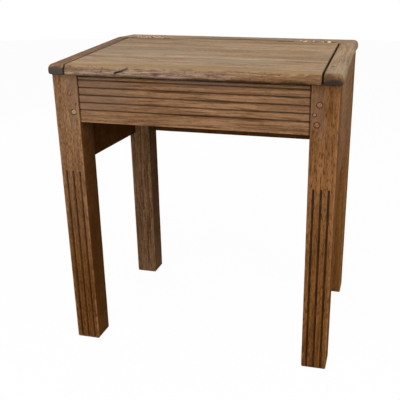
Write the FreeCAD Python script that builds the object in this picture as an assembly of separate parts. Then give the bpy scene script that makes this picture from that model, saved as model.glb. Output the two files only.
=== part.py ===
"""School desk with a lift lid: a pegged oak frame with a sloping hinged lid over a shallow book well.

Millimetres. +X is to the right of someone facing the desk, +Y to its back, +Z up.
The origin is on the floor under the middle of the top.
"""
import FreeCAD
import Part
import math
import os

Vector = FreeCAD.Vector

# Top: lid, side strips and rear board
TOP_WIDTH = 620.0
TOP_DEPTH = 452.0
REAR_HEIGHT = 691.0
TOP_THICKNESS = 22.0
LID_SLOPE_DEG = 5.0
REAR_BOARD_DEPTH = 106.0
SIDE_STRIP_WIDTH = 38.0
LID_SIDE_GAP = 2.0
LID_REAR_GAP = 1.5
LID_REST_GAP = 0.3
LID_BOARD_COUNT = 3
NOSE_RADIUS = 13.0
NOSE_UNDER_RADIUS = 5.0
OUTER_EDGE_RADIUS = 11.0
OUTER_UNDER_RADIUS = 4.0
PEN_GROOVE_LENGTH = 230.0
PEN_GROOVE_WIDTH = 14.0
PEN_GROOVE_DEPTH = 4.0
PEN_GROOVE_SETBACK = 20.0

# Legs, with their two inner faces tapered below the side rails
LEG_SECTION = 57.0
FOOT_TAPER = 1.0
TAPER_DROP = 6.0
LEG_ARRIS_RADIUS = 1.5
SIDE_OVERHANG = 5.0
FRONT_OVERHANG = 12.0
REAR_OVERHANG = 8.0
FLUTE_COUNT = 3
FLUTE_PITCH = 16.0
FLUTE_RADIUS = 2.5
FLUTE_TOP_DROP = 1.5

# Rails and their tenons
FRONT_RAIL_DEPTH = 102.25
FRONT_RAIL_THICKNESS = 20.0
FRONT_RAIL_INSET = 2.0
GROOVE_PITCH = 15.9
GROOVE_BOTTOM_BAND = 27.0
GROOVE_WIDTH = 4.5
GROOVE_DEPTH = 3.0
RAIL_DEPTH = 241.0
RAIL_THICKNESS = 16.0
RAIL_INSET = 1.5
TENON_LENGTH = 30.0
TENON_THICKNESS = 8.0
TENON_SHOULDER = 12.0
TWIN_TENON_GAP = 30.0
TENON_FIT = 0.1

# Pegs through the tenons, and dowels under the top
PEG_RADIUS = 5.5
PEG_LENGTH = 28.0
PEG_PROUD = 0.4
PEG_FIT = 0.05
PEG_SHOULDER_DISTANCE = 14.0
FRONT_PEG_EDGE = 10.0
FRONT_PEG_SPACING = 40.0
FRONT_PEG_STAGGER = 4.0
PIN_PEG_RADIUS = 3.5
PIN_PEG_SHOULDER_DISTANCE = 8.5
DOWEL_RADIUS = 4.0
DOWEL_BITE = 14.0
DOWEL_FIT = 0.1
STRIP_DOWEL_SETBACK = 16.0
STRIP_RAIL_DOWEL_SETBACKS = (180.0, 40.0)
REAR_LEG_DOWEL_SETBACK = 20.0
REAR_RAIL_DOWELS = (-100.0, 100.0)

# Well floor: boards on ledgers
FLOOR_THICKNESS = 9.0
FLOOR_BOARD_COUNT = 3
FLOOR_GAP = 0.5
LEDGER_SECTION = 16.0
LEDGER_LIFT = 4.0
LEDGER_SCREW_LIFT = 4.5
LEDGER_SCREW_BITE = 8.0
LEDGER_SCREW_COUNT = 3
NAIL_RADIUS = 1.2
NAIL_HEAD_RADIUS = 3.0
NAIL_HEAD_THICKNESS = 1.0
NAIL_BITE = 7.0
NAIL_EDGE = 15.0
NAIL_FIT = 0.05

# Lid battens
BATTEN_WIDTH = 40.0
BATTEN_THICKNESS = 15.0
BATTEN_INSET = 90.0
BATTEN_FRONT_SETBACK = 70.0
BATTEN_REAR_SETBACK = 30.0
BATTEN_SCREW_BITE = 12.0

# Butt hinges, with the barrel on the line where lid and rear board meet
HINGE_LENGTH = 76.0
HINGE_INSET = 20.0
KNUCKLE_COUNT = 5
KNUCKLE_RADIUS = 3.5
KNUCKLE_GAP = 0.3
BARREL_CLEARANCE = 0.4
PIN_RADIUS = 1.75
PIN_CLEARANCE = 0.05
LEAF_THICKNESS = 1.8
LEAF_LOWER_MARGIN = 4.0
LEAF_FIT = 0.05
HINGE_SCREW_LENGTH = 19.0
HINGE_SCREW_COUNT = 3
SCREW_RADIUS = 1.75
SCREW_HEAD_RADIUS = 3.5
SCREW_FIT = 0.05

SIDES = {"left": -1, "right": 1}
ENDS = {"front": -1, "rear": 1}

# Places that follow from the driving dimensions
front_edge_y = -TOP_DEPTH / 2
rear_edge_y = TOP_DEPTH / 2
hinge_y = rear_edge_y - REAR_BOARD_DEPTH
slope = math.tan(math.radians(LID_SLOPE_DEG))
rear_underside_z = REAR_HEIGHT - TOP_THICKNESS
leg_outer_x = TOP_WIDTH / 2 - SIDE_OVERHANG
leg_inner_x = leg_outer_x - LEG_SECTION
front_face_y = front_edge_y + FRONT_OVERHANG
rear_face_y = rear_edge_y - REAR_OVERHANG
front_leg_back_y = front_face_y + LEG_SECTION
rear_leg_front_y = rear_face_y - LEG_SECTION
strip_inner_x = TOP_WIDTH / 2 - SIDE_STRIP_WIDTH
lid_half_width = strip_inner_x - LID_SIDE_GAP
lid_rear_y = hinge_y - LID_REAR_GAP
side_rail_outer_x = leg_outer_x - RAIL_INSET
side_rail_inner_x = side_rail_outer_x - RAIL_THICKNESS
side_rail_middle_x = side_rail_outer_x - RAIL_THICKNESS / 2
front_rail_front_y = front_face_y + FRONT_RAIL_INSET
front_rail_back_y = front_rail_front_y + FRONT_RAIL_THICKNESS
rear_rail_back_y = rear_face_y - RAIL_INSET
rear_rail_front_y = rear_rail_back_y - RAIL_THICKNESS
front_rail_middle_y = (front_rail_front_y + front_rail_back_y) / 2
rear_rail_middle_y = (rear_rail_front_y + rear_rail_back_y) / 2
hinge_axis_y = hinge_y - LID_REAR_GAP / 2
hinge_axis_z = REAR_HEIGHT
hinge_outer_x = lid_half_width - HINGE_INSET
leaf_height = TOP_THICKNESS - LEAF_LOWER_MARGIN
leaf_screw_z = hinge_axis_z - (leaf_height + KNUCKLE_RADIUS) / 2
slope_normal = Vector(0, -slope, 1).normalize()


def top_z(y):
    """Height of the writing surface at depth y: sloping up to the hinge line, then level."""
    return REAR_HEIGHT - max(hinge_y - y, 0.0) * slope


def underside_z(y):
    """Height at which legs, rails and the fixed top meet at depth y."""
    return top_z(y) - TOP_THICKNESS


# Heights of the rails, which hang from the top, and of the floor on the ledgers
rail_bottom_z = rear_underside_z - RAIL_DEPTH
taper_top_z = rail_bottom_z - TAPER_DROP
front_rail_bottom_z = underside_z(front_rail_front_y) - FRONT_RAIL_DEPTH
ledger_bottom_z = front_rail_bottom_z + LEDGER_LIFT
ledger_top_z = ledger_bottom_z + LEDGER_SECTION
floor_top_z = ledger_top_z + FLOOR_THICKNESS


def box(x_ends, y_ends, z_ends):
    """Block between two ends along each axis, given in either order."""
    lows = [min(ends) for ends in (x_ends, y_ends, z_ends)]
    sizes = [max(ends) - min(ends) for ends in (x_ends, y_ends, z_ends)]
    return Part.makeBox(*sizes, Vector(*lows))


def rounded_wire(corners):
    """Closed wire through (point, radius) corners, each with a tangent arc where its radius is not 0."""
    count = len(corners)
    arcs = []
    for index, (point, radius) in enumerate(corners):
        to_last = (corners[index - 1][0] - point).normalize()
        to_next = (corners[(index + 1) % count][0] - point).normalize()
        half_angle = to_last.getAngle(to_next) / 2
        setback = radius / math.tan(half_angle)
        inward = (to_last + to_next).normalize()
        middle = point + inward * (radius / math.sin(half_angle) - radius)
        arcs.append((point + to_last * setback, middle, point + to_next * setback))
    edges = []
    for index, (start, middle, finish) in enumerate(arcs):
        if corners[index][1] > 0:
            edges.append(Part.Arc(start, middle, finish).toShape())
        edges.append(Part.makeLine(finish, arcs[(index + 1) % count][0]))
    return Part.Wire(edges)


def prism(corners, path):
    """Solid swept straight along path from the outline of (point, radius) corners."""
    return Part.Face(rounded_wire(corners)).extrude(path)


def compound(shapes):
    return Part.makeCompound(shapes)


def space_above_underside():
    """Everything over the plane on which the top rests, to trim legs and rails."""
    reach = TOP_WIDTH
    outline = [
        (-TOP_DEPTH, underside_z(-TOP_DEPTH)),
        (hinge_y, rear_underside_z),
        (TOP_DEPTH, rear_underside_z),
        (TOP_DEPTH, 2 * REAR_HEIGHT),
        (-TOP_DEPTH, 2 * REAR_HEIGHT),
    ]
    corners = [(Vector(-reach, y, z), 0.0) for y, z in outline]
    return prism(corners, Vector(2 * reach, 0, 0))


def screw(seat, direction, length, fit=0.0):
    """Countersunk screw with its flat head at seat; fit widens it into the hole that takes it."""
    head_depth = SCREW_HEAD_RADIUS - SCREW_RADIUS
    head = Part.makeCone(SCREW_HEAD_RADIUS + fit, SCREW_RADIUS + fit, head_depth, seat, direction)
    shank = Part.makeCylinder(SCREW_RADIUS + fit, length + fit, seat, direction)
    return head.fuse(shank)


# Tenons, pegs and dowels: each function gives the pieces, or with fit the holes that take them

def tenon_heights(bottom, top, count):
    """Low and high ends of count tenons one over another between a rail's shoulders."""
    low = bottom + TENON_SHOULDER
    high = top - TENON_SHOULDER
    each = (high - low - (count - 1) * TWIN_TENON_GAP) / count
    starts = [low + index * (each + TWIN_TENON_GAP) for index in range(count)]
    return [(start, start + each) for start in starts]


def front_tenon_heights():
    return tenon_heights(front_rail_bottom_z, underside_z(front_rail_front_y), 1)


def rear_tenon_heights():
    return tenon_heights(rail_bottom_z, rear_underside_z, 2)


def side_tenon_heights(end):
    lowest_top = underside_z(front_leg_back_y - TENON_LENGTH) if end < 0 else rear_underside_z
    return tenon_heights(rail_bottom_z, lowest_top, 2)


def cross_tenons(middle_y, heights, fit=0.0):
    """Tenons at both ends of the front or rear rail."""
    half = TENON_THICKNESS / 2 + fit
    tip_x = leg_inner_x + TENON_LENGTH + fit
    return [
        box((side * leg_inner_x, side * tip_x), (middle_y - half, middle_y + half), (low - fit, high + fit))
        for side in SIDES.values()
        for low, high in heights
    ]


def side_tenons(side, fit=0.0):
    """Tenons at both ends of one side rail."""
    half = TENON_THICKNESS / 2 + fit
    x_ends = (side * (side_rail_middle_x - half), side * (side_rail_middle_x + half))
    reach = TENON_LENGTH + fit
    shoulders = {-1: front_leg_back_y, 1: rear_leg_front_y}
    return [
        box(x_ends, (shoulders[end], shoulders[end] + end * reach), (low - fit, high + fit))
        for end in ENDS.values()
        for low, high in side_tenon_heights(end)
    ]


def peg(start, direction, radius, fit):
    """Round peg driven in from just above the face that start lies on."""
    outside = start - direction * PEG_PROUD
    return Part.makeCylinder(radius + fit, PEG_LENGTH + PEG_PROUD + fit, outside, direction)


def front_rail_pegs(fit=0.0):
    low = front_tenon_heights()[0][0] + FRONT_PEG_EDGE
    places = [
        (PEG_SHOULDER_DISTANCE, low),
        (PEG_SHOULDER_DISTANCE + FRONT_PEG_STAGGER, low + FRONT_PEG_SPACING),
    ]
    return [
        peg(Vector(side * (leg_inner_x + inset), front_face_y, z), Vector(0, 1, 0), PEG_RADIUS, fit)
        for side in SIDES.values()
        for inset, z in places
    ]


def front_rail_pins(fit=0.0):
    z = front_tenon_heights()[0][0] + FRONT_PEG_EDGE + FRONT_PEG_SPACING / 2
    x = leg_inner_x + PIN_PEG_SHOULDER_DISTANCE
    return [
        peg(Vector(side * x, front_face_y, z), Vector(0, 1, 0), PIN_PEG_RADIUS, fit)
        for side in SIDES.values()
    ]


def rear_rail_pegs(fit=0.0):
    x = leg_inner_x + PEG_SHOULDER_DISTANCE
    return [
        peg(Vector(side * x, rear_face_y, (low + high) / 2), Vector(0, -1, 0), PEG_RADIUS, fit)
        for side in SIDES.values()
        for low, high in rear_tenon_heights()
    ]


def side_rail_pegs(side, fit=0.0):
    places = {
        -1: front_leg_back_y - PEG_SHOULDER_DISTANCE,
        1: rear_leg_front_y + PEG_SHOULDER_DISTANCE,
    }
    return [
        peg(Vector(side * leg_outer_x, places[end], (low + high) / 2), Vector(-side, 0, 0), PEG_RADIUS, fit)
        for end in ENDS.values()
        for low, high in side_tenon_heights(end)
    ]


def dowel(x, y, fit):
    """Upright blind dowel, half in the top and half in what carries it."""
    start = Vector(x, y, underside_z(y) - DOWEL_BITE - fit)
    return Part.makeCylinder(DOWEL_RADIUS + fit, 2 * (DOWEL_BITE + fit), start)


def strip_dowels(side, fit=0.0):
    strip_middle_x = TOP_WIDTH / 2 - SIDE_STRIP_WIDTH / 2
    places = [(strip_middle_x, front_face_y + STRIP_DOWEL_SETBACK)]
    places += [(side_rail_middle_x, hinge_y - setback) for setback in STRIP_RAIL_DOWEL_SETBACKS]
    return [dowel(side * x, y, fit) for x, y in places]


def rear_board_dowels(fit=0.0):
    leg_middle_x = leg_inner_x + LEG_SECTION / 2
    places = [(side * leg_middle_x, rear_face_y - REAR_LEG_DOWEL_SETBACK) for side in SIDES.values()]
    places += [(x, rear_rail_middle_y) for x in REAR_RAIL_DOWELS]
    return [dowel(x, y, fit) for x, y in places]


# Frame

def leg_blank(side, end):
    """Square leg with softened arrises, tapered on its two inner faces below the side rails."""
    outer = Vector(side * leg_outer_x, front_face_y if end < 0 else rear_face_y, 0)
    across = Vector(-side * LEG_SECTION, 0, 0)
    along = Vector(0, -end * LEG_SECTION, 0)
    points = [outer, outer + across, outer + across + along, outer + along]
    blank = prism([(point, LEG_ARRIS_RADIUS) for point in points], Vector(0, 0, REAR_HEIGHT))
    tapers = [
        taper_wedge(outer + across, Vector(side * FOOT_TAPER, 0, 0), along),
        taper_wedge(outer + along, Vector(0, end * FOOT_TAPER, 0), across),
    ]
    return blank.cut(tapers)


def taper_wedge(edge, inset, path):
    """Wedge to plane off one inner face, from nothing under the rails to inset at the foot."""
    corners = [edge, edge + inset, edge + Vector(0, 0, taper_top_z)]
    return prism([(corner, 0.0) for corner in corners], path)


def flutes(side):
    """Round-bottomed flutes down the front face of a front leg, running out at the foot."""
    top = rail_bottom_z - FLUTE_TOP_DROP - FLUTE_RADIUS
    middle_x = leg_inner_x + LEG_SECTION / 2
    cutters = []
    for index in range(FLUTE_COUNT):
        x = side * (middle_x + (index - (FLUTE_COUNT - 1) / 2) * FLUTE_PITCH)
        cutters.append(Part.makeCylinder(FLUTE_RADIUS, top, Vector(x, front_face_y, 0)))
        cutters.append(Part.makeSphere(FLUTE_RADIUS, Vector(x, front_face_y, top)))
    return cutters


def leg(side, end):
    cutters = [space_above_underside()]
    cutters += side_tenons(side, TENON_FIT)
    cutters += side_rail_pegs(side, PEG_FIT)
    if end < 0:
        cutters += flutes(side)
        cutters += cross_tenons(front_rail_middle_y, front_tenon_heights(), TENON_FIT)
        cutters += front_rail_pegs(PEG_FIT) + front_rail_pins(PEG_FIT)
        cutters += strip_dowels(side, DOWEL_FIT)
    else:
        cutters += cross_tenons(rear_rail_middle_y, rear_tenon_heights(), TENON_FIT)
        cutters += rear_rail_pegs(PEG_FIT) + rear_board_dowels(DOWEL_FIT)
    return leg_blank(side, end).cut(cutters)


def rail_grooves():
    """Level V-grooves along the front rail, as many as its height takes."""
    first_z = front_rail_bottom_z + GROOVE_BOTTOM_BAND
    room = underside_z(front_rail_front_y) - GROOVE_WIDTH - first_z
    cutters = []
    for index in range(int(room / GROOVE_PITCH) + 1):
        z = first_z + index * GROOVE_PITCH
        outline = [
            (front_rail_front_y, z - GROOVE_WIDTH / 2),
            (front_rail_front_y + GROOVE_DEPTH, z),
            (front_rail_front_y, z + GROOVE_WIDTH / 2),
        ]
        corners = [(Vector(-leg_inner_x, y, height), 0.0) for y, height in outline]
        cutters.append(prism(corners, Vector(2 * leg_inner_x, 0, 0)))
    return cutters


def cross_rail(y_ends, bottom, tenons, cutters):
    """Rail from left leg to right leg, trimmed under the top."""
    board = box((-leg_inner_x, leg_inner_x), y_ends, (bottom, REAR_HEIGHT))
    return board.cut(space_above_underside()).fuse(tenons).cut(cutters)


def front_rail():
    cutters = rail_grooves() + front_rail_pegs(PEG_FIT) + front_rail_pins(PEG_FIT)
    cutters += ledger_screws("front", SCREW_FIT)
    tenons = cross_tenons(front_rail_middle_y, front_tenon_heights())
    return cross_rail((front_rail_front_y, front_rail_back_y), front_rail_bottom_z, tenons, cutters)


def rear_rail():
    cutters = rear_rail_pegs(PEG_FIT) + rear_board_dowels(DOWEL_FIT) + ledger_screws("rear", SCREW_FIT)
    tenons = cross_tenons(rear_rail_middle_y, rear_tenon_heights())
    return cross_rail((rear_rail_front_y, rear_rail_back_y), rail_bottom_z, tenons, cutters)


def side_rail(name):
    side = SIDES[name]
    x_ends = (side * side_rail_inner_x, side * side_rail_outer_x)
    board = box(x_ends, (front_leg_back_y, rear_leg_front_y), (rail_bottom_z, REAR_HEIGHT))
    cutters = side_rail_pegs(side, PEG_FIT) + strip_dowels(side, DOWEL_FIT)
    cutters += ledger_screws(name, SCREW_FIT)
    return board.cut(space_above_underside()).fuse(side_tenons(side)).cut(cutters)


# Well floor

def ledger_ends(name):
    """X and Y ends of the ledger on the named rail."""
    if name in SIDES:
        side = SIDES[name]
        x_ends = (side * side_rail_inner_x, side * (side_rail_inner_x - LEDGER_SECTION))
        return x_ends, (front_leg_back_y, rear_leg_front_y)
    face = front_rail_back_y if name == "front" else rear_rail_front_y
    return (-leg_inner_x, leg_inner_x), (face, face - ENDS[name] * LEDGER_SECTION)


def ledger_screws(name, fit=0.0):
    """Screws through a ledger into its rail, in a row along it."""
    x_ends, y_ends = ledger_ends(name)
    z = ledger_bottom_z + LEDGER_SCREW_LIFT
    length = LEDGER_SECTION + LEDGER_SCREW_BITE
    shares = [(index + 0.5) / LEDGER_SCREW_COUNT for index in range(LEDGER_SCREW_COUNT)]
    if name in SIDES:
        seats = [Vector(x_ends[1], y_ends[0] + share * (y_ends[1] - y_ends[0]), z) for share in shares]
        direction = Vector(SIDES[name], 0, 0)
    else:
        seats = [Vector(x_ends[0] + share * (x_ends[1] - x_ends[0]), y_ends[1], z) for share in shares]
        direction = Vector(0, ENDS[name], 0)
    return [screw(seat, direction, length, fit) for seat in seats]


def floor_board_ends(index):
    """Front and back edges of one floor board."""
    front = front_rail_back_y + FLOOR_GAP
    each = (rear_rail_front_y - FLOOR_GAP - front) / FLOOR_BOARD_COUNT
    return front + index * each, front + (index + 1) * each - FLOOR_GAP


def floor_nails(fit=0.0):
    """Nails down through the board ends into the side ledgers."""
    x = side_rail_inner_x - LEDGER_SECTION / 2
    length = FLOOR_THICKNESS + NAIL_BITE + fit
    down = Vector(0, 0, -1)
    nails = []
    for index in range(FLOOR_BOARD_COUNT):
        front, back = floor_board_ends(index)
        first_y = max(front, front_leg_back_y) + NAIL_EDGE
        last_y = min(back, rear_leg_front_y) - NAIL_EDGE
        for side in SIDES.values():
            for y in (first_y, last_y):
                seat = Vector(side * x, y, floor_top_z)
                head = Part.makeCylinder(NAIL_HEAD_RADIUS + fit, NAIL_HEAD_THICKNESS + fit, seat, down)
                nails.append(head.fuse(Part.makeCylinder(NAIL_RADIUS + fit, length, seat, down)))
    return nails


def ledger(name):
    cutters = ledger_screws(name, SCREW_FIT)
    if name in SIDES:
        cutters += floor_nails(NAIL_FIT)
    return box(*ledger_ends(name), (ledger_bottom_z, ledger_top_z)).cut(cutters)


def floor_board(index):
    """Board across the well, notched round the legs where it meets them."""
    half_width = side_rail_inner_x - FLOOR_GAP
    board = box((-half_width, half_width), floor_board_ends(index), (ledger_top_z, floor_top_z))
    notch_x = leg_inner_x - FLOOR_GAP
    notches = [
        box((side * notch_x, side * leg_outer_x), y_ends, (0, REAR_HEIGHT))
        for side in SIDES.values()
        for y_ends in (
            (front_face_y, front_leg_back_y + FLOOR_GAP),
            (rear_leg_front_y - FLOOR_GAP, rear_face_y),
        )
    ]
    return board.cut(notches + floor_nails(NAIL_FIT))


# Top

def sloping_slab(x_ends, back_y, lift=0.0):
    """Board that follows the slope from the nosed front edge to back_y; lift raises its underside."""
    nose = min(NOSE_RADIUS, 0.6 * TOP_THICKNESS)
    under = min(NOSE_UNDER_RADIUS, 0.25 * TOP_THICKNESS)
    x = min(x_ends)
    corners = [
        (Vector(x, front_edge_y, top_z(front_edge_y)), nose),
        (Vector(x, front_edge_y, underside_z(front_edge_y) + lift), under),
        (Vector(x, back_y, underside_z(back_y) + lift), 0.0),
        (Vector(x, back_y, top_z(back_y)), 0.0),
    ]
    return prism(corners, Vector(max(x_ends) - x, 0, 0))


def edge_outline(y, outer_x, inner_x, inner_rounded):
    """Outline of the top across X at depth y, rounded at outer_x and, if asked, at inner_x."""
    edge = min(OUTER_EDGE_RADIUS, 0.6 * TOP_THICKNESS)
    under = min(OUTER_UNDER_RADIUS, 0.25 * TOP_THICKNESS)
    return [
        (Vector(outer_x, y, top_z(y)), edge),
        (Vector(inner_x, y, top_z(y)), edge if inner_rounded else 0.0),
        (Vector(inner_x, y, underside_z(y)), under if inner_rounded else 0.0),
        (Vector(outer_x, y, underside_z(y)), under),
    ]


def top_strip(side):
    """Fixed strip beside the lid, nosed in front and rounded along its outer edge."""
    x_ends = (side * strip_inner_x, side * TOP_WIDTH / 2)
    rise = Vector(0, hinge_y - front_edge_y, top_z(hinge_y) - top_z(front_edge_y))
    rounded = prism(edge_outline(front_edge_y, x_ends[1], x_ends[0], False), rise)
    return sloping_slab(x_ends, hinge_y).common(rounded).cut(strip_dowels(side, DOWEL_FIT))


def pen_groove():
    """Shallow round-bottomed trough with rounded ends, just behind the hinge line."""
    radius = (PEN_GROOVE_WIDTH ** 2 / 4 + PEN_GROOVE_DEPTH ** 2) / (2 * PEN_GROOVE_DEPTH)
    y = hinge_y + PEN_GROOVE_SETBACK
    z = REAR_HEIGHT + radius - PEN_GROOVE_DEPTH
    half = PEN_GROOVE_LENGTH / 2 - PEN_GROOVE_WIDTH / 2
    trough = Part.makeCylinder(radius, 2 * half, Vector(-half, y, z), Vector(1, 0, 0))
    ends = [Part.makeSphere(radius, Vector(x, y, z)) for x in (-half, half)]
    return [trough] + ends


def rear_top_board():
    """Level board behind the lid, rounded at its ends and along its back edge."""
    half = TOP_WIDTH / 2
    across = prism(edge_outline(hinge_y, half, -half, True), Vector(0, REAR_BOARD_DEPTH, 0))
    edge = min(OUTER_EDGE_RADIUS, 0.6 * TOP_THICKNESS)
    under = min(OUTER_UNDER_RADIUS, 0.25 * TOP_THICKNESS)
    corners = [
        (Vector(-half, hinge_y, REAR_HEIGHT), 0.0),
        (Vector(-half, hinge_y, rear_underside_z), 0.0),
        (Vector(-half, rear_edge_y, rear_underside_z), under),
        (Vector(-half, rear_edge_y, REAR_HEIGHT), edge),
    ]
    along = prism(corners, Vector(TOP_WIDTH, 0, 0))
    cutters = pen_groove() + rear_board_dowels(DOWEL_FIT)
    for side in SIDES.values():
        cutters += hinge_recess(side, 1) + hinge_screws(side, 1, SCREW_FIT)
    return across.common(along).cut(cutters)


# Lid

def lid_board_ends(index):
    """Front and back edges of one of the boards glued edge to edge into the lid."""
    each = (lid_rear_y - front_edge_y) / LID_BOARD_COUNT
    return front_edge_y + index * each, front_edge_y + (index + 1) * each


def batten_ends():
    return front_edge_y + BATTEN_FRONT_SETBACK, lid_rear_y - BATTEN_REAR_SETBACK


def batten_x_ends(side):
    outer = lid_half_width - BATTEN_INSET
    return side * outer, side * (outer - BATTEN_WIDTH)


def batten_screws(side, fit=0.0):
    """One screw up through the batten into each lid board."""
    front, back = batten_ends()
    x = sum(batten_x_ends(side)) / 2
    length = BATTEN_THICKNESS + BATTEN_SCREW_BITE
    screws = []
    for index in range(LID_BOARD_COUNT):
        board_front, board_back = lid_board_ends(index)
        y = (max(front, board_front) + min(back, board_back)) / 2
        seat = Vector(x, y, underside_z(y) + LID_REST_GAP - BATTEN_THICKNESS)
        screws.append(screw(seat, slope_normal, length, fit))
    return screws


def lid_board(index):
    whole = sloping_slab((-lid_half_width, lid_half_width), lid_rear_y, LID_REST_GAP)
    slice_box = box((-TOP_WIDTH, TOP_WIDTH), lid_board_ends(index), (0, 2 * REAR_HEIGHT))
    cutters = []
    for side in SIDES.values():
        cutters += batten_screws(side, SCREW_FIT)
        cutters += hinge_recess(side, -1) + hinge_screws(side, -1, SCREW_FIT)
    return whole.common(slice_box).cut(cutters)


def lid_batten(side):
    front, back = batten_ends()
    x_ends = batten_x_ends(side)
    x = min(x_ends)
    outline = [(front, 0.0), (back, 0.0), (back, BATTEN_THICKNESS), (front, BATTEN_THICKNESS)]
    corners = [(Vector(x, y, underside_z(y) + LID_REST_GAP - drop), 0.0) for y, drop in outline]
    batten = prism(corners, Vector(max(x_ends) - x, 0, 0))
    return batten.cut(batten_screws(side, SCREW_FIT))


# Hinges: facing is 1 for the leaf on the rear board and -1 for the leaf on the lid

def hinge_start_x(side):
    """Lower X end of a hinge."""
    return min(side * hinge_outer_x, side * (hinge_outer_x - HINGE_LENGTH))


def barrel(x, length, radius):
    """Round bar on the hinge axis from x on."""
    return Part.makeCylinder(radius, length, Vector(x, hinge_axis_y, hinge_axis_z), Vector(1, 0, 0))


def knuckles(side, facing, radius, gap):
    """Barrel pieces of one leaf: the even places are the fixed leaf's, the odd ones the lid's."""
    pitch = HINGE_LENGTH / KNUCKLE_COUNT
    first = 0 if facing > 0 else 1
    return [
        barrel(hinge_start_x(side) + index * pitch + gap / 2, pitch - gap, radius)
        for index in range(first, KNUCKLE_COUNT, 2)
    ]


def hinge_screws(side, facing, fit=0.0):
    y = hinge_axis_y + facing * LID_REAR_GAP / 2
    pitch = HINGE_LENGTH / HINGE_SCREW_COUNT
    places = [hinge_start_x(side) + (index + 0.5) * pitch for index in range(HINGE_SCREW_COUNT)]
    direction = Vector(0, facing, 0)
    return [screw(Vector(x, y, leaf_screw_z), direction, HINGE_SCREW_LENGTH, fit) for x in places]


def leaf_plate(side, facing, fit=0.0):
    x = hinge_start_x(side)
    near_y = hinge_axis_y + facing * LID_REAR_GAP / 2
    far_y = near_y + facing * (LEAF_THICKNESS + fit)
    z_ends = (hinge_axis_z - leaf_height - fit, hinge_axis_z)
    return box((x - fit, x + HINGE_LENGTH + fit), (near_y, far_y), z_ends)


def hinge_recess(side, facing):
    """Housing for one leaf and the barrel in the edge of the lid or rear board."""
    x = hinge_start_x(side) - BARREL_CLEARANCE
    length = HINGE_LENGTH + 2 * BARREL_CLEARANCE
    return [leaf_plate(side, facing, LEAF_FIT), barrel(x, length, KNUCKLE_RADIUS + BARREL_CLEARANCE)]


def hinge_leaf(side, facing):
    """Plate with its own knuckles, cleared round the other leaf's."""
    cutters = knuckles(side, -facing, KNUCKLE_RADIUS + BARREL_CLEARANCE, -KNUCKLE_GAP)
    cutters.append(barrel(hinge_start_x(side), HINGE_LENGTH, PIN_RADIUS + PIN_CLEARANCE))
    cutters += hinge_screws(side, facing, SCREW_FIT)
    own = knuckles(side, facing, KNUCKLE_RADIUS, KNUCKLE_GAP)
    return leaf_plate(side, facing).fuse(own).cut(cutters)


def hinge_pin(side):
    return barrel(hinge_start_x(side), HINGE_LENGTH, PIN_RADIUS)


def build_parts():
    """Every piece of the desk by name."""
    parts = {
        "front_rail": front_rail(),
        "rear_rail": rear_rail(),
        "rear_top_board": rear_top_board(),
        "front_rail_pegs": compound(front_rail_pegs()),
        "front_rail_pins": compound(front_rail_pins()),
        "rear_rail_pegs": compound(rear_rail_pegs()),
        "rear_board_dowels": compound(rear_board_dowels()),
        "floor_nails": compound(floor_nails()),
    }
    for end_name, end in ENDS.items():
        for side_name, side in SIDES.items():
            parts[f"{end_name}_{side_name}_leg"] = leg(side, end)
    for name in (*ENDS, *SIDES):
        parts[f"{name}_floor_ledger"] = ledger(name)
        parts[f"{name}_ledger_screws"] = compound(ledger_screws(name))
    for index in range(FLOOR_BOARD_COUNT):
        parts[f"floor_board_{index + 1}"] = floor_board(index)
    for index in range(LID_BOARD_COUNT):
        parts[f"lid_board_{index + 1}"] = lid_board(index)
    for name, side in SIDES.items():
        parts[f"{name}_side_rail"] = side_rail(name)
        parts[f"{name}_side_rail_pegs"] = compound(side_rail_pegs(side))
        parts[f"{name}_top_strip"] = top_strip(side)
        parts[f"{name}_strip_dowels"] = compound(strip_dowels(side))
        parts[f"{name}_lid_batten"] = lid_batten(side)
        parts[f"{name}_batten_screws"] = compound(batten_screws(side))
        parts[f"{name}_hinge_fixed_leaf"] = hinge_leaf(side, 1)
        parts[f"{name}_hinge_lid_leaf"] = hinge_leaf(side, -1)
        parts[f"{name}_hinge_fixed_screws"] = compound(hinge_screws(side, 1))
        parts[f"{name}_hinge_lid_screws"] = compound(hinge_screws(side, -1))
        parts[f"{name}_hinge_pin"] = hinge_pin(side)
    return parts


def main():
    os.makedirs("parts", exist_ok=True)
    for name, shape in build_parts().items():
        shape.exportStep(f"parts/{name}.step")


main()
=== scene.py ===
"""School desk with a lift lid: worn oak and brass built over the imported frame, in a plain studio.

Metres, in the frame's own axes: +X to the right, +Y to the back, +Z up, floor at 0.
"""
import bmesh
import bpy
import math
from contextlib import contextmanager
from functools import partial
from mathutils import Matrix, Vector


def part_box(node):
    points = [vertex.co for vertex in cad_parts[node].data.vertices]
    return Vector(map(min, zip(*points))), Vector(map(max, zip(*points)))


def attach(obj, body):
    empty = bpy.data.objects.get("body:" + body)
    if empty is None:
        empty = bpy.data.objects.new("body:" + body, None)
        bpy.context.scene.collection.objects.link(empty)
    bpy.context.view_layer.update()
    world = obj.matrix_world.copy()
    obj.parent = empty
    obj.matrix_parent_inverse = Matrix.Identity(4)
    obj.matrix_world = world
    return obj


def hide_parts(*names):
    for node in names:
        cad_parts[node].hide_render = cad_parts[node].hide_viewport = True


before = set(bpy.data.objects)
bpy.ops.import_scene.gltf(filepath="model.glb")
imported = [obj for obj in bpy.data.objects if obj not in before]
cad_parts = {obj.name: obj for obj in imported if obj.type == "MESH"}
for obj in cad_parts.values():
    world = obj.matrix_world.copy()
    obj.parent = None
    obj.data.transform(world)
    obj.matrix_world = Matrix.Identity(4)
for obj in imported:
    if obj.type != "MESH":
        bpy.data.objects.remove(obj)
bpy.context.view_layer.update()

bl_info = {
    "name": "School Desk",
    "version": (1, 0, 0),
    "blender": (4, 5, 0),
    "location": "3D View > Sidebar > School Desk",
    "description": "Models and finishes a worn oak school desk with a lift lid",
    "category": "Add Mesh",
}

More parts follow.
